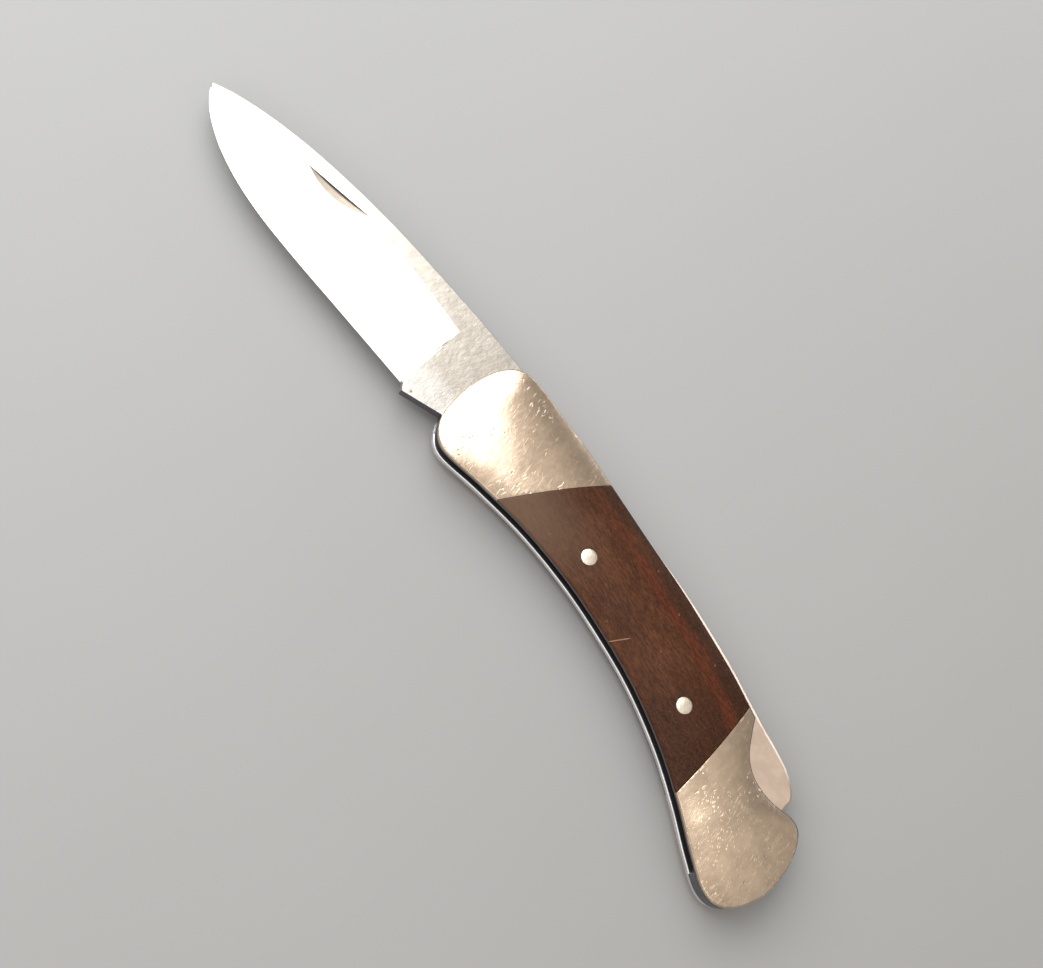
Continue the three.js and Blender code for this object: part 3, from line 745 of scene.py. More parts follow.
class CoverSettings(bpy.types.PropertyGroup):
    edge_height: length_setting("Edge height", "Height of the covers at their outline", 0.0005)
    crown_power: FloatProperty(
        name="Crown", description="How full the crown of the covers is", default=1.85, min=1.2, max=6.0
    )
    seam_gap: length_setting("Seam gap", "Gap between bolster and scale", 0.00008)
    bolster_colour: colour_setting("Bolster", "Colour of the bolsters", (0.73, 0.585, 0.452))
    wood_dark: colour_setting("Dark wood", "Dark streaks of the scales", (0.028, 0.0095, 0.0035))
    wood_brown: colour_setting("Brown wood", "Ground colour of the scales", (0.122, 0.043, 0.0185))
    wood_red: colour_setting("Red wood", "The band along the spine", (0.118, 0.023, 0.009))


class LockSettings(bpy.types.PropertyGroup):
    corner: length_setting("Corner", "Width of the chamfer along the bar's spine edge", 0.00045)
    colour: colour_setting("Bar", "Colour of the lock bar", (0.92, 0.76, 0.64))


class LinerSettings(bpy.types.PropertyGroup):
    inner_corner: length_setting("Inner corner", "Rounding of the liners' edges at the slot", 0.00045)
    outer_corner: length_setting("Outer corner", "Rounding of the liners' edges at the covers", 0.00005)
    colour: colour_setting("Liner", "Colour of the liners", (0.90, 0.90, 0.92))
    # Painted shade: this dark colour stands for the shade inside the handle and on faces turned from the
    # light
    painted_shade_colour: colour_setting("Inner parts", "Colour of the parts inside", (0.16, 0.16, 0.18))


class PinSettings(bpy.types.PropertyGroup):
    radius: length_setting("Radius", "Radius of the scale pins", 0.0016)
    dome: length_setting("Dome", "Height of the pins' domed heads", 0.00022)
    sides: IntProperty(name="Sides", description="Facets round a pin", default=48, min=12, max=96)
    colour: colour_setting("Pin", "Colour of the pins", (0.95, 0.87, 0.75))


class StageSettings(bpy.types.PropertyGroup):
    floor_colour: colour_setting("Floor", "Colour of the floor", (0.40, 0.41, 0.42))
    lens: FloatProperty(name="Lens", description="Focal length", default=58.68, min=10, max=200)
    tilt: FloatProperty(
        name="Tilt",
        description="Camera's angle from the vertical",
        default=math.radians(21.5),
        unit="ROTATION",
    )
    panel_power: power_setting("Panel", "Power of the large panel", 7.1)
    strip_power: power_setting("Strip", "Power of the strip light behind the spine", 0.3)
    belly_power: power_setting("Belly strip", "Power of the strip light before the belly", 0.22)


# Blade

SECTIONS, FINE_SECTIONS, PLUNGE_SECTIONS = 104, 19, 9
SECTION_CROWDING = 1.45
FINE_LENGTH = 2.6
CURVE_STEPS = 60
HOLLOW_STEPS = 26
FLAT_STEPS = 3
MOST_FLAT, MOST_BEVEL = 0.45, 0.2
SPINE_CORNER, MOST_CORNER = 0.12, 0.3
THIN_TIP, THIN_LENGTH = 0.42, 1.5
TIP_SLOPE, TIP_WIDTH = 0.05, 6.0
PLUNGE_RUN = 1.7


def blade_stations(settings):
    """Edge and spine points of the blade's sections, from the tip back into the handle,
    with each section's share of the ground length and its distance past the full grind."""
    edge = smooth_curve(BLADE_EDGE, CURVE_STEPS)
    spine = smooth_curve(BLADE_SPINE, CURVE_STEPS)
    coarse = (np.arange(1, SECTIONS + 1) / SECTIONS) ** SECTION_CROWDING * (1 - FINE_LENGTH / GROUND_LENGTH)
    shares = np.concatenate([coarse, np.linspace(coarse[-1], 1, FINE_SECTIONS + 1)[1:]])
    edges, spines = list(at_shares(edge, shares)), list(at_shares(spine, shares))
    past = list((shares - 1) * GROUND_LENGTH)
    for step in np.linspace(0, settings.plunge_length / MM, PLUNGE_SECTIONS + 1)[1:]:
        edges.append(edge[-1] + (step, 0))
        spines.append(spine[-1] + (step, 0))
        past.append(step)
    for x, y in KICK + RICASSO_BELLY:
        edges.append((x, y))
        spines.append((x, np.interp(x, *RICASSO_SPINE)))
        past.append(x + PLUNGE_REACH)
    shares = np.concatenate([shares, np.ones(len(edges) - len(shares))])
    return np.array(edges), np.array(spines), shares, past


def full_half(share):
    """Half the blade's full thickness at a share of the ground length."""
    return BLADE_THICKNESS / 2 * (THIN_TIP + (1 - THIN_TIP) * min(share * THIN_LENGTH, 1))


def flat_depth(settings, share):
    """How far the flat comes down from the spine at a share of the ground length."""
    tip = settings.flat_tip_depth
    return (tip + (settings.flat_depth - tip) * share**2) / MM


def blade_plan(settings):
    """The blade's plan: a ring of points for each section, all in the middle plane. For each
    point it has the half thickness, the place in the hollow, the share of the grind and the
    side, by which the grinding tree lifts it."""
    plunge = settings.plunge_length / MM
    corner = settings.plunge_corner / MM
    edge_half = settings.edge_half / MM
    rows, numbers = [], []
    for edge, spine, share, past in zip(*blade_stations(settings)):
        width = np.linalg.norm(spine - edge)
        thick = min(full_half(share), edge_half + width * TIP_SLOPE * (1 + (width / TIP_WIDTH) ** 2))
        ground = 1 - min(flat_depth(settings, share) / width, MOST_FLAT)
        bevel = min(settings.bevel_width / MM / width, MOST_BEVEL)
        room = plunge - past

        def run_out(depth):
            cut = corner - math.sqrt(max(corner**2 - max(corner - depth, 0) ** 2, 0))
            open_share = min(max((room - cut) / plunge, 0), 1)
            return 1 - (1 - open_share) ** PLUNGE_RUN

        start = bevel * run_out(corner)
        across = []
        for step in range(HOLLOW_STEPS + 1):
            rise = step / HOLLOW_STEPS
            place = start + (ground - start) * rise
            across.append((place, thick, rise, run_out((ground - place) * width)))
        rounding = min(SPINE_CORNER, thick * MOST_CORNER)
        for step in range(1, FLAT_STEPS + 1):
            place = ground + (1 - rounding / width - ground) * step / FLAT_STEPS
            across.append((place, thick, 1, 0))
        across.append((1, thick - rounding, 1, 0))
        ring = [(0, 0, 0, 0, 0)]
        ring += [(*entry, 1) for entry in across]
        ring += [(*entry, -1) for entry in across[::-1]]
        rows.append([edge + (spine - edge) * entry[0] for entry in ring])
        numbers += [entry[1:] for entry in ring]
    return rows, numbers


TANG_RADIUS, TOOTH_RADIUS = 7.2, 7.35
TANG_TOP = 11.6
ENGAGED = math.radians(1.6)
CLOSED = math.radians(168)
TOOTH_FRONT, TOOTH_REAR = 1.6, 4.4
NOTCH_FRONT, NOTCH_REAR = TOOTH_FRONT - 0.4, TOOTH_REAR + 0.35
NOTCH_GAP, SEAT_GAP = 0.3, 0.5
TANG_POINTS, TOOTH_POINTS = 40, 5


def tooth_drop(x):
    """How far the bar's tooth comes down at x when the lock engages."""
    return (ROCKER[0] - x) * math.sin(ENGAGED)


def on_circle(x, radius):
    """Height of a circle round the pivot at x."""
    return math.sqrt(radius**2 - x**2)


def tang_outline():
    """The tang inside the handle, from the spine round the notch and the seat to the ricasso."""
    middle = (TOOTH_FRONT + TOOTH_REAR) / 2
    seat_angle = math.atan2(on_circle(middle, TOOTH_RADIUS), middle) - CLOSED
    seat_depth = TOOTH_RADIUS - tooth_drop(TOOTH_FRONT) - SEAT_GAP
    end_angle = seat_angle + math.acos(seat_depth / TANG_RADIUS)
    rear_angle = math.atan2(on_circle(NOTCH_REAR, TANG_RADIUS), NOTCH_REAR)
    points = [(NOTCH_FRONT, TANG_TOP)]
    for x, place in ((NOTCH_FRONT, TOOTH_FRONT), (NOTCH_REAR, TOOTH_REAR)):
        points.append((x, on_circle(place, TOOTH_RADIUS) - tooth_drop(place) - NOTCH_GAP))
    for angle in np.linspace(rear_angle, end_angle, TANG_POINTS):
        points.append((TANG_RADIUS * math.cos(angle), TANG_RADIUS * math.sin(angle)))
    return points


def blade_mesh(settings):
    """The blade's plan as a mesh, the two sides of its tang included."""
    rows, numbers = blade_plan(settings)
    count = len(rows[0])
    vertices = [(*BLADE_EDGE[0], MIDDLE)] + [(*point, MIDDLE) for ring in rows for point in ring]
    last = len(rows) - 1
    last_ground = last - len(KICK) - len(RICASSO_BELLY)
    faces, ground = [], []

    def corner(row, column):
        return 1 + row * count + column % count

    for column in range(count):
        on_grind = column <= HOLLOW_STEPS or column >= count - HOLLOW_STEPS - 1
        faces.append((0, corner(0, column + 1), corner(0, column)))
        ground.append(on_grind)
        for row in range(last):
            ahead = (corner(row + 1, column + 1), corner(row + 1, column))
            faces.append((corner(row, column), corner(row, column + 1), *ahead))
            ground.append(on_grind and row < last_ground)
    tang = tang_outline()
    base = len(vertices)
    for side in (1, -1):
        vertices += [(x, y, MIDDLE) for x, y in tang]
        numbers += [(BLADE_THICKNESS / 2, 1, 0, side)] * len(tang)
    half_way = (count - 1) // 2
    above = [corner(last, column) for column in range(1, half_way + 1)]
    below = [corner(last, column) for column in range(count - 1, half_way, -1)]
    upper = list(range(base, base + len(tang)))
    lower = list(range(base + len(tang), base + 2 * len(tang)))
    faces.append(tuple(above + upper))
    faces.append(tuple((below + lower)[::-1]))
    for i in range(len(tang) - 1):
        faces.append((upper[i], lower[i], lower[i + 1], upper[i + 1]))
    faces.append((above[-1], below[-1], lower[0], upper[0]))
    faces.append((upper[-1], lower[-1], below[0], corner(last, 0), above[0]))
    ground += [False] * (len(faces) - len(ground))
    thing = mesh_object("blade_steel", vertices, faces)
    numbers = np.array([(0, 0, 0, 0)] + numbers, float) * (MM, 1, 1, 1)
    for label, values in zip(("half_thickness", "hollow_share", "grind", "side"), numbers.T):
        point_values(thing, label, values)
    mark = thing.data.attributes.new("is_ground", "BOOLEAN", "FACE")
    mark.data.foreach_set("value", np.array(ground, bool))
    return thing


def grinding_tree():
    """Lifts each point of the blade's plan to its height on the flat or in the hollow grind."""
    kinds = {
        "Edge Half Thickness": "Float", "Hollow": "Float",
        "Ground Steel": "Material", "Flat Steel": "Material",
    }
    maker, start, end = geometry_tree("hollow_grind", kinds)
    thin, power = (maker.number(start, label) for label in ("Edge Half Thickness", "Hollow"))
    half = named(maker, "half_thickness")
    ground = thin + (half - thin) * named(maker, "hollow_share") ** power
    height = (half + (ground - half) * named(maker, "grind")) * named(maker, "side")
    mesh = realized(maker, lifted(maker, start.outputs["Geometry"], height))
    mesh = dressed(maker, mesh, start.outputs["Flat Steel"])
    on_grind = maker.node("GeometryNodeInputNamedAttribute", {"Name": "is_ground"}, data_type="BOOLEAN")
    mesh = dressed(maker, mesh, start.outputs["Ground Steel"], on_grind.outputs["Attribute"])
    maker.feed(end.inputs[0], mesh)
    return maker.tree


NICK_PLACE = 29.9
NICK_DROP = 2.85
NICK_SLOPE = math.radians(8.2)
NICK_STEPS = 121
NICK_OVERRUN = 0.7
PIT = (-13.95, -8.35, 0.28)
PIT_DEPTH = 0.25
PIVOT_RADIUS = 2.5
FACES_DOWN = -0.7
GRIND_ANGLE = 22.0


def nick_cutter(settings):
    """A slice of a wide cone, whose flat base makes the edge that the nail catches."""
    length, depth, width = settings.nick_length / MM, settings.nick_depth / MM, settings.nick_width / MM
    radius = (length**2 / 4 + depth**2) / (2 * depth)
    share = NICK_PLACE / GROUND_LENGTH
    lines = (smooth_curve(points, CURVE_STEPS) for points in (BLADE_SPINE, BLADE_EDGE))
    spine, edge = (at_shares(line, [share])[0] for line in lines)
    breadth = np.linalg.norm(spine - edge)
    ground = 1 - flat_depth(settings, share) / breadth
    bevel = settings.bevel_width / MM / breadth
    rise = min((1 - NICK_DROP / breadth - bevel) / (ground - bevel), 1)
    thin = settings.edge_half / MM
    surface = MIDDLE + thin + (full_half(share) - thin) * rise**settings.hollow_power
    centre = (NICK_PLACE - BLADE_REACH, spine[1] - NICK_DROP)
    along = np.array([math.cos(NICK_SLOPE), math.sin(NICK_SLOPE)])
    across = np.array([along[1], -along[0]])
    places = np.linspace(-length * NICK_OVERRUN, length * NICK_OVERRUN, NICK_STEPS)
    vertices = []
    for down in (0, 2 * width):
        reach = radius - depth / width * down
        for place in places:
            x, y = centre + along * place + across * down
            vertices.append((x, y, surface - depth + radius - math.sqrt(reach**2 - place**2)))
        for place in (places[-1], places[0]):
            x, y = centre + along * place + across * down
            vertices.append((x, y, surface + radius / 4))
    count = len(places) + 2
    faces = [tuple(range(count)), tuple(range(count, 2 * count))[::-1]]
    faces += [face[::-1] for face in wall_faces(count, 2)]
    return outward(mesh_object("nick_cutter", vertices, faces))


class KNIFE_OT_blade(bpy.types.Operator):
    """Grinds the blade, cuts its nail nick and fits it in place of its solid"""

    bl_idname = "knife.blade"
    bl_label = "Blade"

    def execute(self, context):
        settings = context.scene.knife_blade
        ground = steel("ground_steel", settings.ground_colour, 0.1, 0.002)
        flat = steel("flat_steel", settings.flat_colour, 0.3, 0.06, 1.0)
        values = {
            "Edge Half Thickness": settings.edge_half,
            "Hollow": settings.hollow_power,
            "Ground Steel": ground,
            "Flat Steel": flat,
        }
        thing = outward(run_tree(blade_mesh(settings), grinding_tree(), values))
        nick = steel("nick_steel", settings.nick_colour, 0.35, 0.001)
        wall = painted_shade_metal("shaded_steel", context, 0.4)
        # Painted shade: the nick's steep wall takes the dark shaded steel
        cutter = set_material(nick_cutter(settings), nick, wall)
        cutter.data.polygons[0].material_index = 1
        carve(thing, cutter)
        pit = rod("pit_cutter", *PIT, BLADE_HIGH - PIT_DEPTH, BLADE_HIGH + 1, 20)
        carve(thing, set_material(pit, nick))
        carve(thing, rod("pivot_cutter", 0, 0, PIVOT_RADIUS, BLADE_LOW - 1, BLADE_HIGH + 1))
        # Painted shade: the flat faces that turn down towards the belly take the dark shaded steel
        names = [material.name for material in thing.data.materials]
        for face in thing.data.polygons:
            if face.normal.y < FACES_DOWN and names[face.material_index] == flat.name:
                face.material_index = names.index(wall.name)
        part_finishes(smooth_faces(thing, GRIND_ANGLE))
        finish_piece(thing, "blade", "blade_steel", "blade")
        return {"FINISHED"}


# Covers

OUTLINE_STEP, FINE_OUTLINE_STEP, MIDDLE_LINE_STEP = 0.55, 0.2, 0.05
CROWN_STEPS = 20
FIRST_TURN, LAST_TURN = math.pi / 12, math.pi / 2 * 0.98
FULL_HALF_WIDTH = 10.6
FRONT_DROP = 1.2
DROP_START, DROP_LENGTH = 10.2, 16.0
RIM_INSETS = (0, 0.06, 0.17, 0.35)
PIN_CLEARANCE = 0.05
ROUND_ANGLE = 40.0
SEAM_ANGLE = 50.0
RIM_LEAN, RIM_HEIGHT = 0.3, 0.88


def crown_lines(step):
    """The outline, the nearest point of the middle line to each of its points, and the share
    of the full height that the crown has there."""
    outline = handle_outline(step)
    line = evenly(smooth_curve(MIDDLE_LINE), MIDDLE_LINE_STEP)
    gaps = np.linalg.norm(outline[:, None, :] - line[None, :, :], axis=2)
    goals = line[np.argmin(gaps, axis=1)]
    sides = outline[outline[:, 0] > 0]
    half_widths = np.linalg.norm(goals[:, None, :] - sides[None, :, :], axis=2).min(axis=1)
    return outline, goals, np.minimum(half_widths / FULL_HALF_WIDTH, 1)


def front_drop(x):
    """How much lower the crown lies towards the front, in millimetres."""
    return FRONT_DROP * np.clip((DROP_START - x) / DROP_LENGTH, 0, 1) ** 2


def crown_plan():
    """The covers' plan: rings that close in from the outline on the middle line,
    and the numbers that the crown's tree lifts them by."""
    outline, goals, reaches = crown_lines(OUTLINE_STEP)
    count = len(outline)
    way = goals - outline
    length = np.linalg.norm(way, axis=1)
    inner = 1 - np.cos(np.linspace(FIRST_TURN, LAST_TURN, CROWN_STEPS + 1))
    shares = [np.zeros(count)] + [inset / length for inset in RIM_INSETS]
    shares += [np.full(count, share) for share in inner]
    rings = np.vstack([outline + way * share[:, None] for share in shares])
    rim = RIM_INSETS[-1]
    drops = [0] + [rim - math.sqrt(rim**2 - (rim - inset) ** 2) for inset in RIM_INSETS] + [0] * len(inner)
    low, high = cap_faces(count, len(shares))
    faces = [low, *wall_faces(count, len(shares)), high]
    thing = mesh_object("cover_plan", [(x, y, COVER_LOW) for x, y in rings], faces)

    def triangulate_caps(shape):
        bmesh.ops.triangulate(shape, faces=[face for face in shape.faces if len(face.verts) > 4])

    edited(thing, triangulate_caps)
    point_values(thing, "crown_share", np.concatenate(shares))
    point_values(thing, "crown_reach", np.tile(reaches, len(shares)))
    point_values(thing, "front_drop", front_drop(rings[:, 0]) * MM)
    point_values(thing, "rim_drop", np.repeat(drops, count) * MM)
    point_values(thing, "on_top", np.repeat([0] + [1] * (len(shares) - 1), count))
    return thing


def crown_tree():
    """Raises a cover's plan from its edge height to its full height by a rounded rule."""
    kinds = {"Edge Height": "Float", "Full Height": "Float", "Crown": "Float", "Material": "Material"}
    maker, start, end = geometry_tree("crown", kinds)
    low, full, power = (maker.number(start, label) for label in ("Edge Height", "Full Height", "Crown"))
    rise = 1 - (1 - named(maker, "crown_share")) ** power
    room = (full - low) * named(maker, "crown_reach") - named(maker, "front_drop")
    height = (low + room * rise - named(maker, "rim_drop")) * named(maker, "on_top")
    mesh = realized(maker, lifted(maker, start.outputs["Geometry"], height))
    maker.feed(end.inputs[0], dressed(maker, mesh, start.outputs["Material"]))
    return maker.tree


def cover_height(x, y, settings):
    """Height of the mark side's cover over a place."""
    best = np.inf
    for start, end, over in zip(*crown_lines(FINE_OUTLINE_STEP)):
        way = end - start
        part = np.clip(np.dot(np.array([x, y]) - start, way) / np.dot(way, way), 0, 1)
        miss = np.linalg.norm(start + way * part - (x, y))
        if miss < best:
            best, share, reach = miss, part, over
    low = settings.edge_height / MM
    room = (COVER_HIGH - COVER_LOW - low) * reach - front_drop(x)
    return COVER_LOW + low + room * (1 - (1 - share) ** settings.crown_power)


def trim(thing, seam, side, gap):
    """Keeps what lies on one side of a seam, less half the gap, and closes the cut."""
    belly, spine = (np.array(end) for end in seam)
    along = (spine - belly) / np.linalg.norm(spine - belly)
    across = np.array([along[1], -along[0]]) * side
    place = belly + across * gap / 2

    def cut(shape):
        made = bmesh.ops.bisect_plane(
            shape,
            geom=shape.verts[:] + shape.edges[:] + shape.faces[:],
            dist=1e-8,
            plane_co=(place[0] * MM, place[1] * MM, 0),
            plane_no=(across[0], across[1], 0),
            clear_inner=True,
        )
        rim = [item for item in made["geom_cut"] if isinstance(item, bmesh.types.BMEdge)]
        bmesh.ops.edgeloop_fill(shape, edges=rim)
        bmesh.ops.recalc_face_normals(shape, faces=shape.faces)

    return edited(thing, cut)


class KNIFE_OT_covers(bpy.types.Operator):
    """Crowns the covers of both sides and parts each into bolster, scale and bolster"""

    bl_idname = "knife.covers"
    bl_label = "Bolsters and scales"

    def execute(self, context):
        settings = context.scene.knife_covers
        hole = context.scene.knife_pins.radius / MM + PIN_CLEARANCE
        bolster = bolster_metal(settings.bolster_colour)
        rim = painted_shade_metal("bolster_rim", context)
        wood = scale_wood(settings.wood_dark, settings.wood_brown, settings.wood_red)
        values = {
            "Edge Height": settings.edge_height,
            "Full Height": (COVER_HIGH - COVER_LOW) * MM,
            "Crown": settings.crown_power,
            "Material": bolster,
        }
        whole = run_tree(crown_plan(), crown_tree(), values)
        for name, seams, material, slot in (
            ("front_bolster", [(FRONT_SEAM, -1)], bolster, "bolster_metal"),
            ("scale", [(FRONT_SEAM, 1), (REAR_SEAM, -1)], wood, "wood"),
            ("rear_bolster", [(REAR_SEAM, 1)], bolster, "bolster_metal"),
        ):
            piece = copy_of(whole, f"{name}_mark")
            for seam, side in seams:
                trim(piece, seam, side, settings.seam_gap / MM)
            soften(piece, settings.seam_gap, SEAM_ANGLE)
            if name == "scale":
                for x, y in SCALE_PINS:
                    carve(piece, rod("pin_cutter", x, y, hole, COVER_LOW - 1, COVER_HIGH + 1))
            set_material(piece, material, rim)
            # Painted shade: the rear bolster's rim faces that lean towards the spine and the scoop take the
            # dark metal
            if name == "rear_bolster":
                darken(piece, lambda face: face.normal.y > RIM_LEAN and face.normal.z < RIM_HEIGHT)
            part_finishes(smooth_faces(piece, ROUND_ANGLE))
            other = turned_over(piece, f"{name}_pile")
            part_finishes(smooth_faces(other, ROUND_ANGLE))
            finish_piece(piece, "handle", slot, f"mark_side_{name}")
            finish_piece(other, "handle", slot, f"pile_side_{name}")
        remove(whole)
        return {"FINISHED"}


# Liners and the spacer

LINER_STEP = 0.4
# Painted shade: past this x, in metres, the pile liner's belly edge takes the dark metal
SHADED_BUTT = 0.0846
HOLDER_WALL, HOLDER_GAP = 1.3, 0.15
HOLDER_ARM, HOLDER_SHOULDER = 3.8, 3.3
FAR = 200


def shaded_on_pile_side(face):
    """Faces given painted shade: the inner face, the lower part of the belly's edge and the belly's edge at
    the butt.
    """
    faces_belly = face.normal.y < 0.3
    return face.normal.z > 0.98 or faces_belly and (face.normal.z < 0.1 or face.center.x > SHADED_BUTT)


class KNIFE_OT_liners(bpy.types.Operator):
    """Makes the two liners and the spacer that holds the spring at the butt"""

    bl_idname = "knife.liners"
    bl_label = "Liners and spacer"

    def execute(self, context):
        settings = context.scene.knife_liners
        bright = plain_metal("liner_steel", settings.colour, 0.24)
        shade_steel = painted_shade_metal("slot_steel", context)
        outline = handle_outline(LINER_STEP)
        corners = (settings.inner_corner / MM, settings.outer_corner / MM)
        liner = rounded_plate("liner_mark", outline, LINER_LOW, LINER_HIGH, *corners)
        holder = plate("spacer", outline, HOLDER_LOW, HOLDER_HIGH)
        set_material(liner, bright, shade_steel)
        other = turned_over(liner, "liner_pile")
        # Painted shade: the slot faces and the faces turned towards the belly take the dark metal
        darken(liner, lambda face: face.normal.y * 0.8 + face.normal.z * 0.6 < -0.3)
        darken(other, shaded_on_pile_side)
        smooth_faces(liner)
        smooth_faces(other)
        finish_piece(liner, "handle", "liner_steel", "mark_side_liner")
        finish_piece(other, "handle", "liner_steel", "pile_side_liner")
        carve(holder, self.holder_block(), "INTERSECT")
        set_material(holder, bright, shade_steel)
        # Painted shade: the spacer's side faces take the dark metal
        darken(holder, lambda face: abs(face.normal.z) < 0.1)
        smooth_faces(holder)
        finish_piece(holder, "handle", "liner_steel", "spring_holder")
        return {"FINISHED"}

    def holder_block(self):
        """What the spacer keeps of the handle's outline: the butt, and the arm for the spring."""
        low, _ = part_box("spring_holder")
        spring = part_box("lock_spring")
        arm_front = low.x / MM
        seat_rear = spring[1].x / MM + HOLDER_GAP
        slot_low = spring[0].y / MM - HOLDER_GAP
        slot_high = slot_low + HOLDER_WALL
        arm_top, arm_low = slot_high + HOLDER_WALL, slot_low - HOLDER_WALL
        front = arm_front + HOLDER_ARM
        clear = BAR_REACH + HOLDER_WALL
        region = [
            (front, -FAR), (FAR, -FAR), (FAR, FAR), (clear, FAR), (clear, arm_top), (arm_front, arm_top),
            (arm_front, slot_high), (seat_rear, slot_high), (seat_rear, slot_low), (arm_front, slot_low),
            (arm_front, arm_low), (front, slot_low - HOLDER_SHOULDER),
        ]
        return plate("spacer_region", region, HOLDER_LOW - 1, HOLDER_HIGH + 1)


# Lock bar

BAR_END = 27
LOBE_START = 6
SPINE_STEP, TOP_STEP, LOBE_STEP, BELLY_STEP = 0.5, 0.9, 0.45, 1.0
BELLY_FRONT = 11
TOOTH_GAP = 0.12
ROCKER_HOLE = 1.3
PROUD_RISES = ((0.62, 5, 26), (0.53, 32, 62))
DARK_BELLY = -0.6
CORNER_GROWS = (0.0, 56.0)
CORNER_SLOPE = 0.52


def proud_height(x):
    """How far the bar stands out of the spine at x."""
    return sum(height * smooth_step(x, low, high) for height, low, high in PROUD_RISES)


def bar_outline():
    """The lock bar from the tooth along the spine to the lobe and back along its belly,
    and which of its points lie along the spine and the lobe."""
    spine = evenly(smooth_curve([FRONT[-1]] + SPINE), SPINE_STEP)
    top_x = np.arange(TOOTH_FRONT, HANDLE_REACH - BAR_END, TOP_STEP)
    top_y = np.interp(top_x, spine[:, 0], spine[:, 1]) + proud_height(top_x)
    top = np.column_stack([top_x, top_y])
    lobe = evenly(smooth_curve([tuple(top[-LOBE_START]), tuple(top[-1])] + BAR_LOBE), LOBE_STEP)
    front_belly = on_circle(NOTCH_REAR, TANG_RADIUS) + tooth_drop(TOOTH_REAR) + TOOTH_GAP
    belly = [(TOOTH_REAR, front_belly), (BELLY_FRONT, front_belly)] + BAR_FRONT_BELLY + BAR_REAR_BELLY
    belly = evenly(smooth_curve(belly), BELLY_STEP)[::-1]
    angles = [math.atan2(on_circle(x, TOOTH_RADIUS), x) for x in (TOOTH_REAR, TOOTH_FRONT)]
    turns = np.linspace(*angles, TOOTH_POINTS)
    tooth = [(TOOTH_RADIUS * math.cos(turn), TOOTH_RADIUS * math.sin(turn)) for turn in turns]
    ring = np.vstack([top[:-LOBE_START], lobe, belly, tooth])
    outer = np.arange(len(ring)) < len(top) - LOBE_START + len(lobe)
    return ring[::-1], outer[::-1]


class KNIFE_OT_lock_bar(bpy.types.Operator):
    """Makes the sprung lock bar with its tooth and its release lobe"""

    bl_idname = "knife.lock_bar"
    bl_label = "Lock bar"

    def execute(self, context):
        settings = context.scene.knife_lock
        finish = plain_metal("lock_bar_steel", settings.colour, 0.34, 0.04)
        outline, outer = bar_outline()
        width = settings.corner / MM * outer * smooth_step(outline[:, 0], *CORNER_GROWS)
        depth = width * CORNER_SLOPE
        levels = [(width, BAR_LOW), (0, BAR_LOW + depth), (0, BAR_HIGH - depth), (width, BAR_HIGH)]
        bar = levelled_plate("lock_bar_steel", outline, levels)
        carve(bar, rod("rocker_cutter", *ROCKER, ROCKER_HOLE, BAR_LOW - 1, BAR_HIGH + 1, 40))
        set_material(bar, finish, painted_shade_metal("bar_belly", context))
        # Painted shade: the faces that turn down towards the belly take the dark metal
        darken(bar, lambda face: face.normal.y < DARK_BELLY)
        smooth_faces(bar, 20.0)
        finish_piece(bar, "lock_bar", "lock_steel", "lock_bar")
        return {"FINISHED"}


# Pins

STEM_SHORT = 0.4


def pin_tree():
    """Sets a domed pin on each point, turned over where the point says so."""
    kinds = {"Radius": "Float", "Dome": "Float", "Stem": "Float", "Sides": "Int", "Material": "Material"}
    maker, start, end = geometry_tree("scale_pins", kinds)
    radius, dome, stem = (maker.number(start, label) for label in ("Radius", "Dome", "Stem"))
    sockets = {"Vertices": start.outputs["Sides"], "Radius": radius, "Depth": stem, "Fill Segments": 7}
    pin = maker.node("GeometryNodeMeshCylinder", sockets, fill_type="TRIANGLE_FAN")
    x, y, z = maker.parts(maker.node("GeometryNodeInputPosition").outputs[0])
    bulge = 1 - (x * x + y * y) / (radius * radius)
    lift = (bulge * dome) * maker.maths("GREATER_THAN", z, 0.0) - stem / 2
    domed = lifted(maker, pin.outputs["Mesh"], lift)
    tilt = maker.node("ShaderNodeCombineXYZ", {"X": named(maker, "turned_over") * math.pi})
    turn = maker.node("FunctionNodeEulerToRotation", {0: tilt.outputs[0]})
    sockets = {"Points": start.outputs["Geometry"], "Instance": domed, "Rotation": turn.outputs[0]}
    spread = maker.node("GeometryNodeInstanceOnPoints", sockets)
    mesh = dressed(maker, realized(maker, spread.outputs[0]), start.outputs["Material"])
    maker.feed(end.inputs[0], mesh)
    return maker.tree


class KNIFE_OT_pins(bpy.types.Operator):
    """Sets the two domed pins of each scale"""

    bl_idname = "knife.pins"
    bl_label = "Scale pins"

    def execute(self, context):
        settings = context.scene.knife_pins
        points, turned = [], []
        for x, y in SCALE_PINS:
            top = cover_height(x, y, context.scene.knife_covers) - PIN_CLEARANCE
            points += [(x, y, top), (x, y, 2 * MIDDLE - top)]
            turned += [0, 1]
        thing = mesh_object("scale_pins", points, [])
        point_values(thing, "turned_over", turned)
        values = {
            "Radius": settings.radius,
            "Dome": settings.dome,
            "Stem": (COVER_HIGH - LINER_LOW - STEM_SHORT) * MM,
            "Sides": settings.sides,
            "Material": pin_metal(settings.colour),
        }
        run_tree(thing, pin_tree(), values)
        smooth_faces(thing, ROUND_ANGLE)
        nodes = [f"{side}_side_{end}_scale_pin" for side in ("mark", "pile") for end in ("front", "rear")]
        finish_piece(thing, "handle", "pin_metal", *nodes)
        return {"FINISHED"}


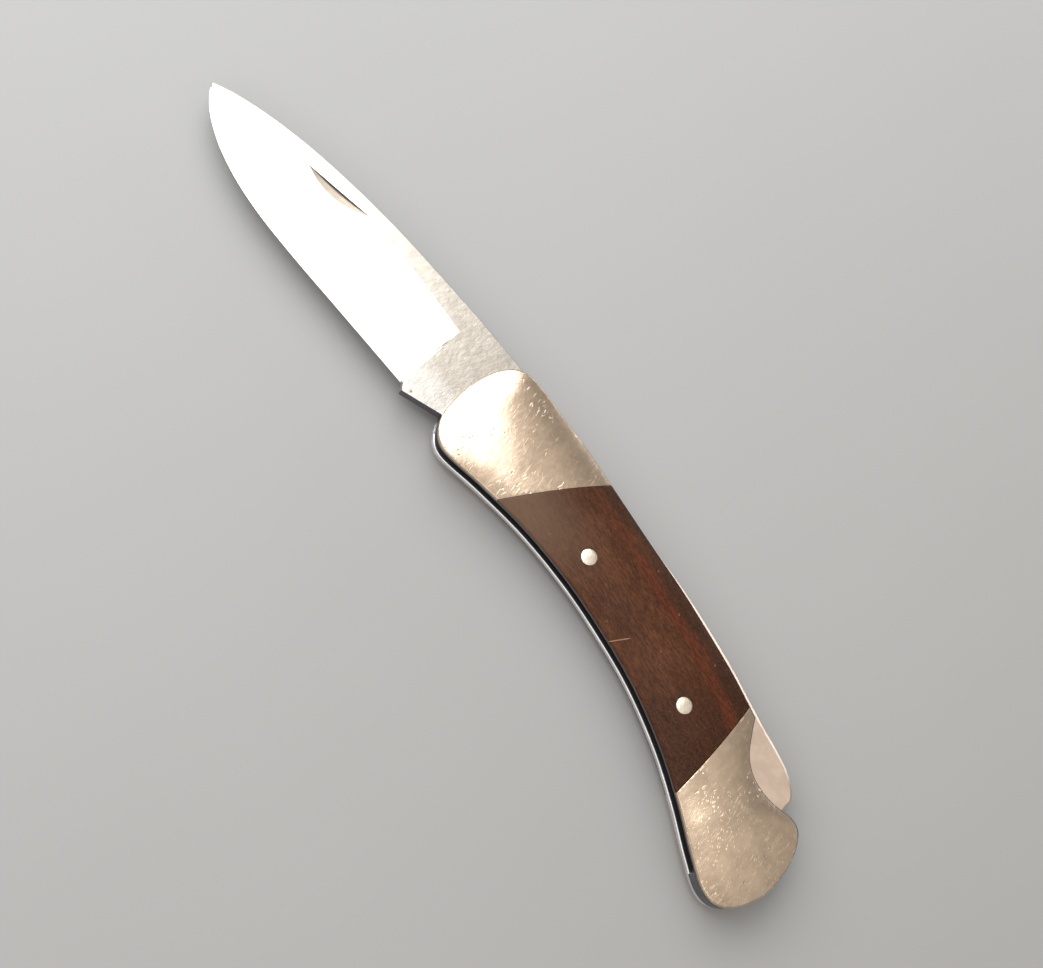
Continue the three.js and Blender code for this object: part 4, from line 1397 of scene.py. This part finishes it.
class KNIFE_OT_inner_parts(bpy.types.Operator):
    """Gives the pins and the spring inside the handle dark metal as painted shade"""

    bl_idname = "knife.inner_parts"
    bl_label = "Inner parts"

    def execute(self, context):
        shade_steel = painted_shade_metal("inner_steel", context)
        for name in ("pivot_pin", "rocker_pin", "upper_butt_pin", "lower_butt_pin", "lock_spring"):
            set_material(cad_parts[name], shade_steel)
        return {"FINISHED"}


# Stage

LOOK_AT = np.array([12.8, -4.0, 7.0])
DISTANCE = 320.75
PICTURE_ALONG = (0.66, 0.7513)
FLOOR_HALF = 3000

# The large panel hangs level over the blade, one long side along a line that the grind's
# reflection meets, so that the grind shines and the flat and the rear bolster stay dark
PANEL_EDGE = np.array([22.5, -95.0])
PANEL_ALONG = np.array([-0.328, 0.9447])
PANEL_ACROSS = np.array([-0.9447, -0.328])
PANEL_MIDDLE = 440.0
PANEL_SIZE = (880.0, 1100.0)
PANEL_HEIGHT = 400.0
SENSOR_WIDTH = 36
NEAREST = 0.01
STRIP_PLACE = (120.0, 420.0, 90.0)
STRIP_SIZE = (400.0, 100.0)
BELLY_PLACE = (30.0, -400.0, 330.0)
BELLY_SIZE = (420.0, 150.0)
SKY_COLOUR = (1.0, 0.93, 0.84)


def camera_axes(tilt):
    """Right, up and back of the photograph's camera in the knife's frame."""
    x, y = np.array(PICTURE_ALONG) / np.linalg.norm(PICTURE_ALONG)
    c, s = math.cos(tilt), math.sin(tilt)
    lean = np.array([[1, 0, 0], [0, c, -s], [0, s, c]])
    return [lean @ axis for axis in ((x, y, 0), (-y, x, 0), (0, 0, 1))]


def add_panel(name, place, size, power, turn):
    """A rectangular light that shines down before it is turned."""
    data = bpy.data.lights.new(name, "AREA")
    data.shape = "RECTANGLE"
    data.size, data.size_y = (side * MM for side in size)
    data.energy = power
    thing = bpy.data.objects.new(name, data)
    bpy.context.scene.collection.objects.link(thing)
    thing.matrix_world = Matrix.Translation([c * MM for c in place]) @ turn
    return thing


class KNIFE_OT_stage(bpy.types.Operator):
    """Sets the pale floor, the soft light and the photograph's camera"""

    bl_idname = "knife.stage"
    bl_label = "Floor, light and camera"

    def execute(self, context):
        settings = context.scene.knife_stage
        self.floor(settings.floor_colour)
        self.world(context.scene)
        place = PANEL_EDGE + PANEL_ALONG * PANEL_MIDDLE + PANEL_ACROSS * PANEL_SIZE[1] / 2
        spin = Matrix.Rotation(math.atan2(PANEL_ALONG[1], PANEL_ALONG[0]), 4, "Z")
        add_panel("large_panel", (*place, PANEL_HEIGHT), PANEL_SIZE, settings.panel_power, spin)
        stand = Matrix.Rotation(math.radians(-90), 4, "X")
        add_panel("spine_strip", STRIP_PLACE, STRIP_SIZE, settings.strip_power, stand)
        add_panel("belly_strip", BELLY_PLACE, BELLY_SIZE, settings.belly_power, stand.inverted())
        self.camera(context.scene, settings)
        context.scene.view_settings.view_transform = "Standard"
        return {"FINISHED"}

    def floor(self, colour):
        """A wide level floor with a faint cloudiness."""
        finish = Finish("pale_floor", colour, 0.0, 0.75)
        cloud = finish.noise(finish.place, 0.01, 2.0)
        finish.give(Base_Color=finish.mix(cloud.above(0.5, 0.8), colour, shade(colour, 0.97)))
        corners = [(x * FLOOR_HALF, y * FLOOR_HALF, 0) for x, y in ((-1, -1), (1, -1), (1, 1), (-1, 1))]
        floor = mesh_object("floor", corners, [(0, 1, 2, 3)])
        set_material(floor, finish.material)

    def world(self, scene):
        """A warm studio sky, palest overhead."""
        world = bpy.data.worlds.new("studio")
        scene.world = world
        world.use_nodes = True
        maker = Tree(world.node_tree)
        maker.tree.nodes.clear()
        side, ahead, height = maker.parts(maker.node("ShaderNodeTexCoord").outputs["Generated"])
        level = (height.above(0.35, 1.1) * 0.45 + 0.34) * (1 - side * 0.3)
        level = level * (1 - ahead.clamped() * 0.25) * (1 - ahead.above(0.8, 0.5) * 0.5)
        sky = maker.node("ShaderNodeBackground", {"Color": SKY_COLOUR, "Strength": level})
        maker.node("ShaderNodeOutputWorld", {0: sky.outputs[0]})

    def camera(self, scene, settings):
        """The photograph's camera."""
        axes = camera_axes(settings.tilt)
        data = bpy.data.cameras.new("photo_camera")
        data.sensor_fit = "HORIZONTAL"
        data.sensor_width = SENSOR_WIDTH
        data.lens = settings.lens
        data.clip_start = NEAREST
        thing = bpy.data.objects.new("photo_camera", data)
        scene.collection.objects.link(thing)
        turn = Matrix([list(row) for row in np.column_stack(axes)])
        place = Vector((LOOK_AT + axes[2] * DISTANCE) * MM)
        thing.matrix_world = Matrix.Translation(place) @ turn.to_4x4()
        scene.camera = thing


class KNIFE_PT_panel(bpy.types.Panel):
    """Lists the steps that build the knife"""

    bl_idname = "KNIFE_PT_panel"
    bl_label = "Folding knife"
    bl_space_type = "VIEW_3D"
    bl_region_type = "UI"
    bl_category = "Knife"

    def draw(self, context):
        for step in STEPS:
            self.layout.operator(step.bl_idname)
        for label in SETTINGS:
            group = getattr(context.scene, label)
            box = self.layout.box()
            for name in group.bl_rna.properties.keys():
                if name not in ("rna_type", "name"):
                    box.prop(group, name)


STEPS = (
    KNIFE_OT_blade, KNIFE_OT_covers, KNIFE_OT_liners, KNIFE_OT_lock_bar,
    KNIFE_OT_pins, KNIFE_OT_inner_parts, KNIFE_OT_stage,
)
SETTINGS = {
    "knife_blade": BladeSettings,
    "knife_covers": CoverSettings,
    "knife_lock": LockSettings,
    "knife_liners": LinerSettings,
    "knife_pins": PinSettings,
    "knife_stage": StageSettings,
}


def register():
    for label, group in SETTINGS.items():
        bpy.utils.register_class(group)
        setattr(bpy.types.Scene, label, PointerProperty(type=group))
    for item in (*STEPS, KNIFE_PT_panel):
        bpy.utils.register_class(item)


def unregister():
    for item in (KNIFE_PT_panel, *reversed(STEPS)):
        bpy.utils.unregister_class(item)
    for label, group in reversed(list(SETTINGS.items())):
        delattr(bpy.types.Scene, label)
        bpy.utils.unregister_class(group)


def main():
    register()
    for step in STEPS:
        family, name = step.bl_idname.split(".")
        getattr(getattr(bpy.ops, family), name)()


if __name__ == "__main__":
    main()
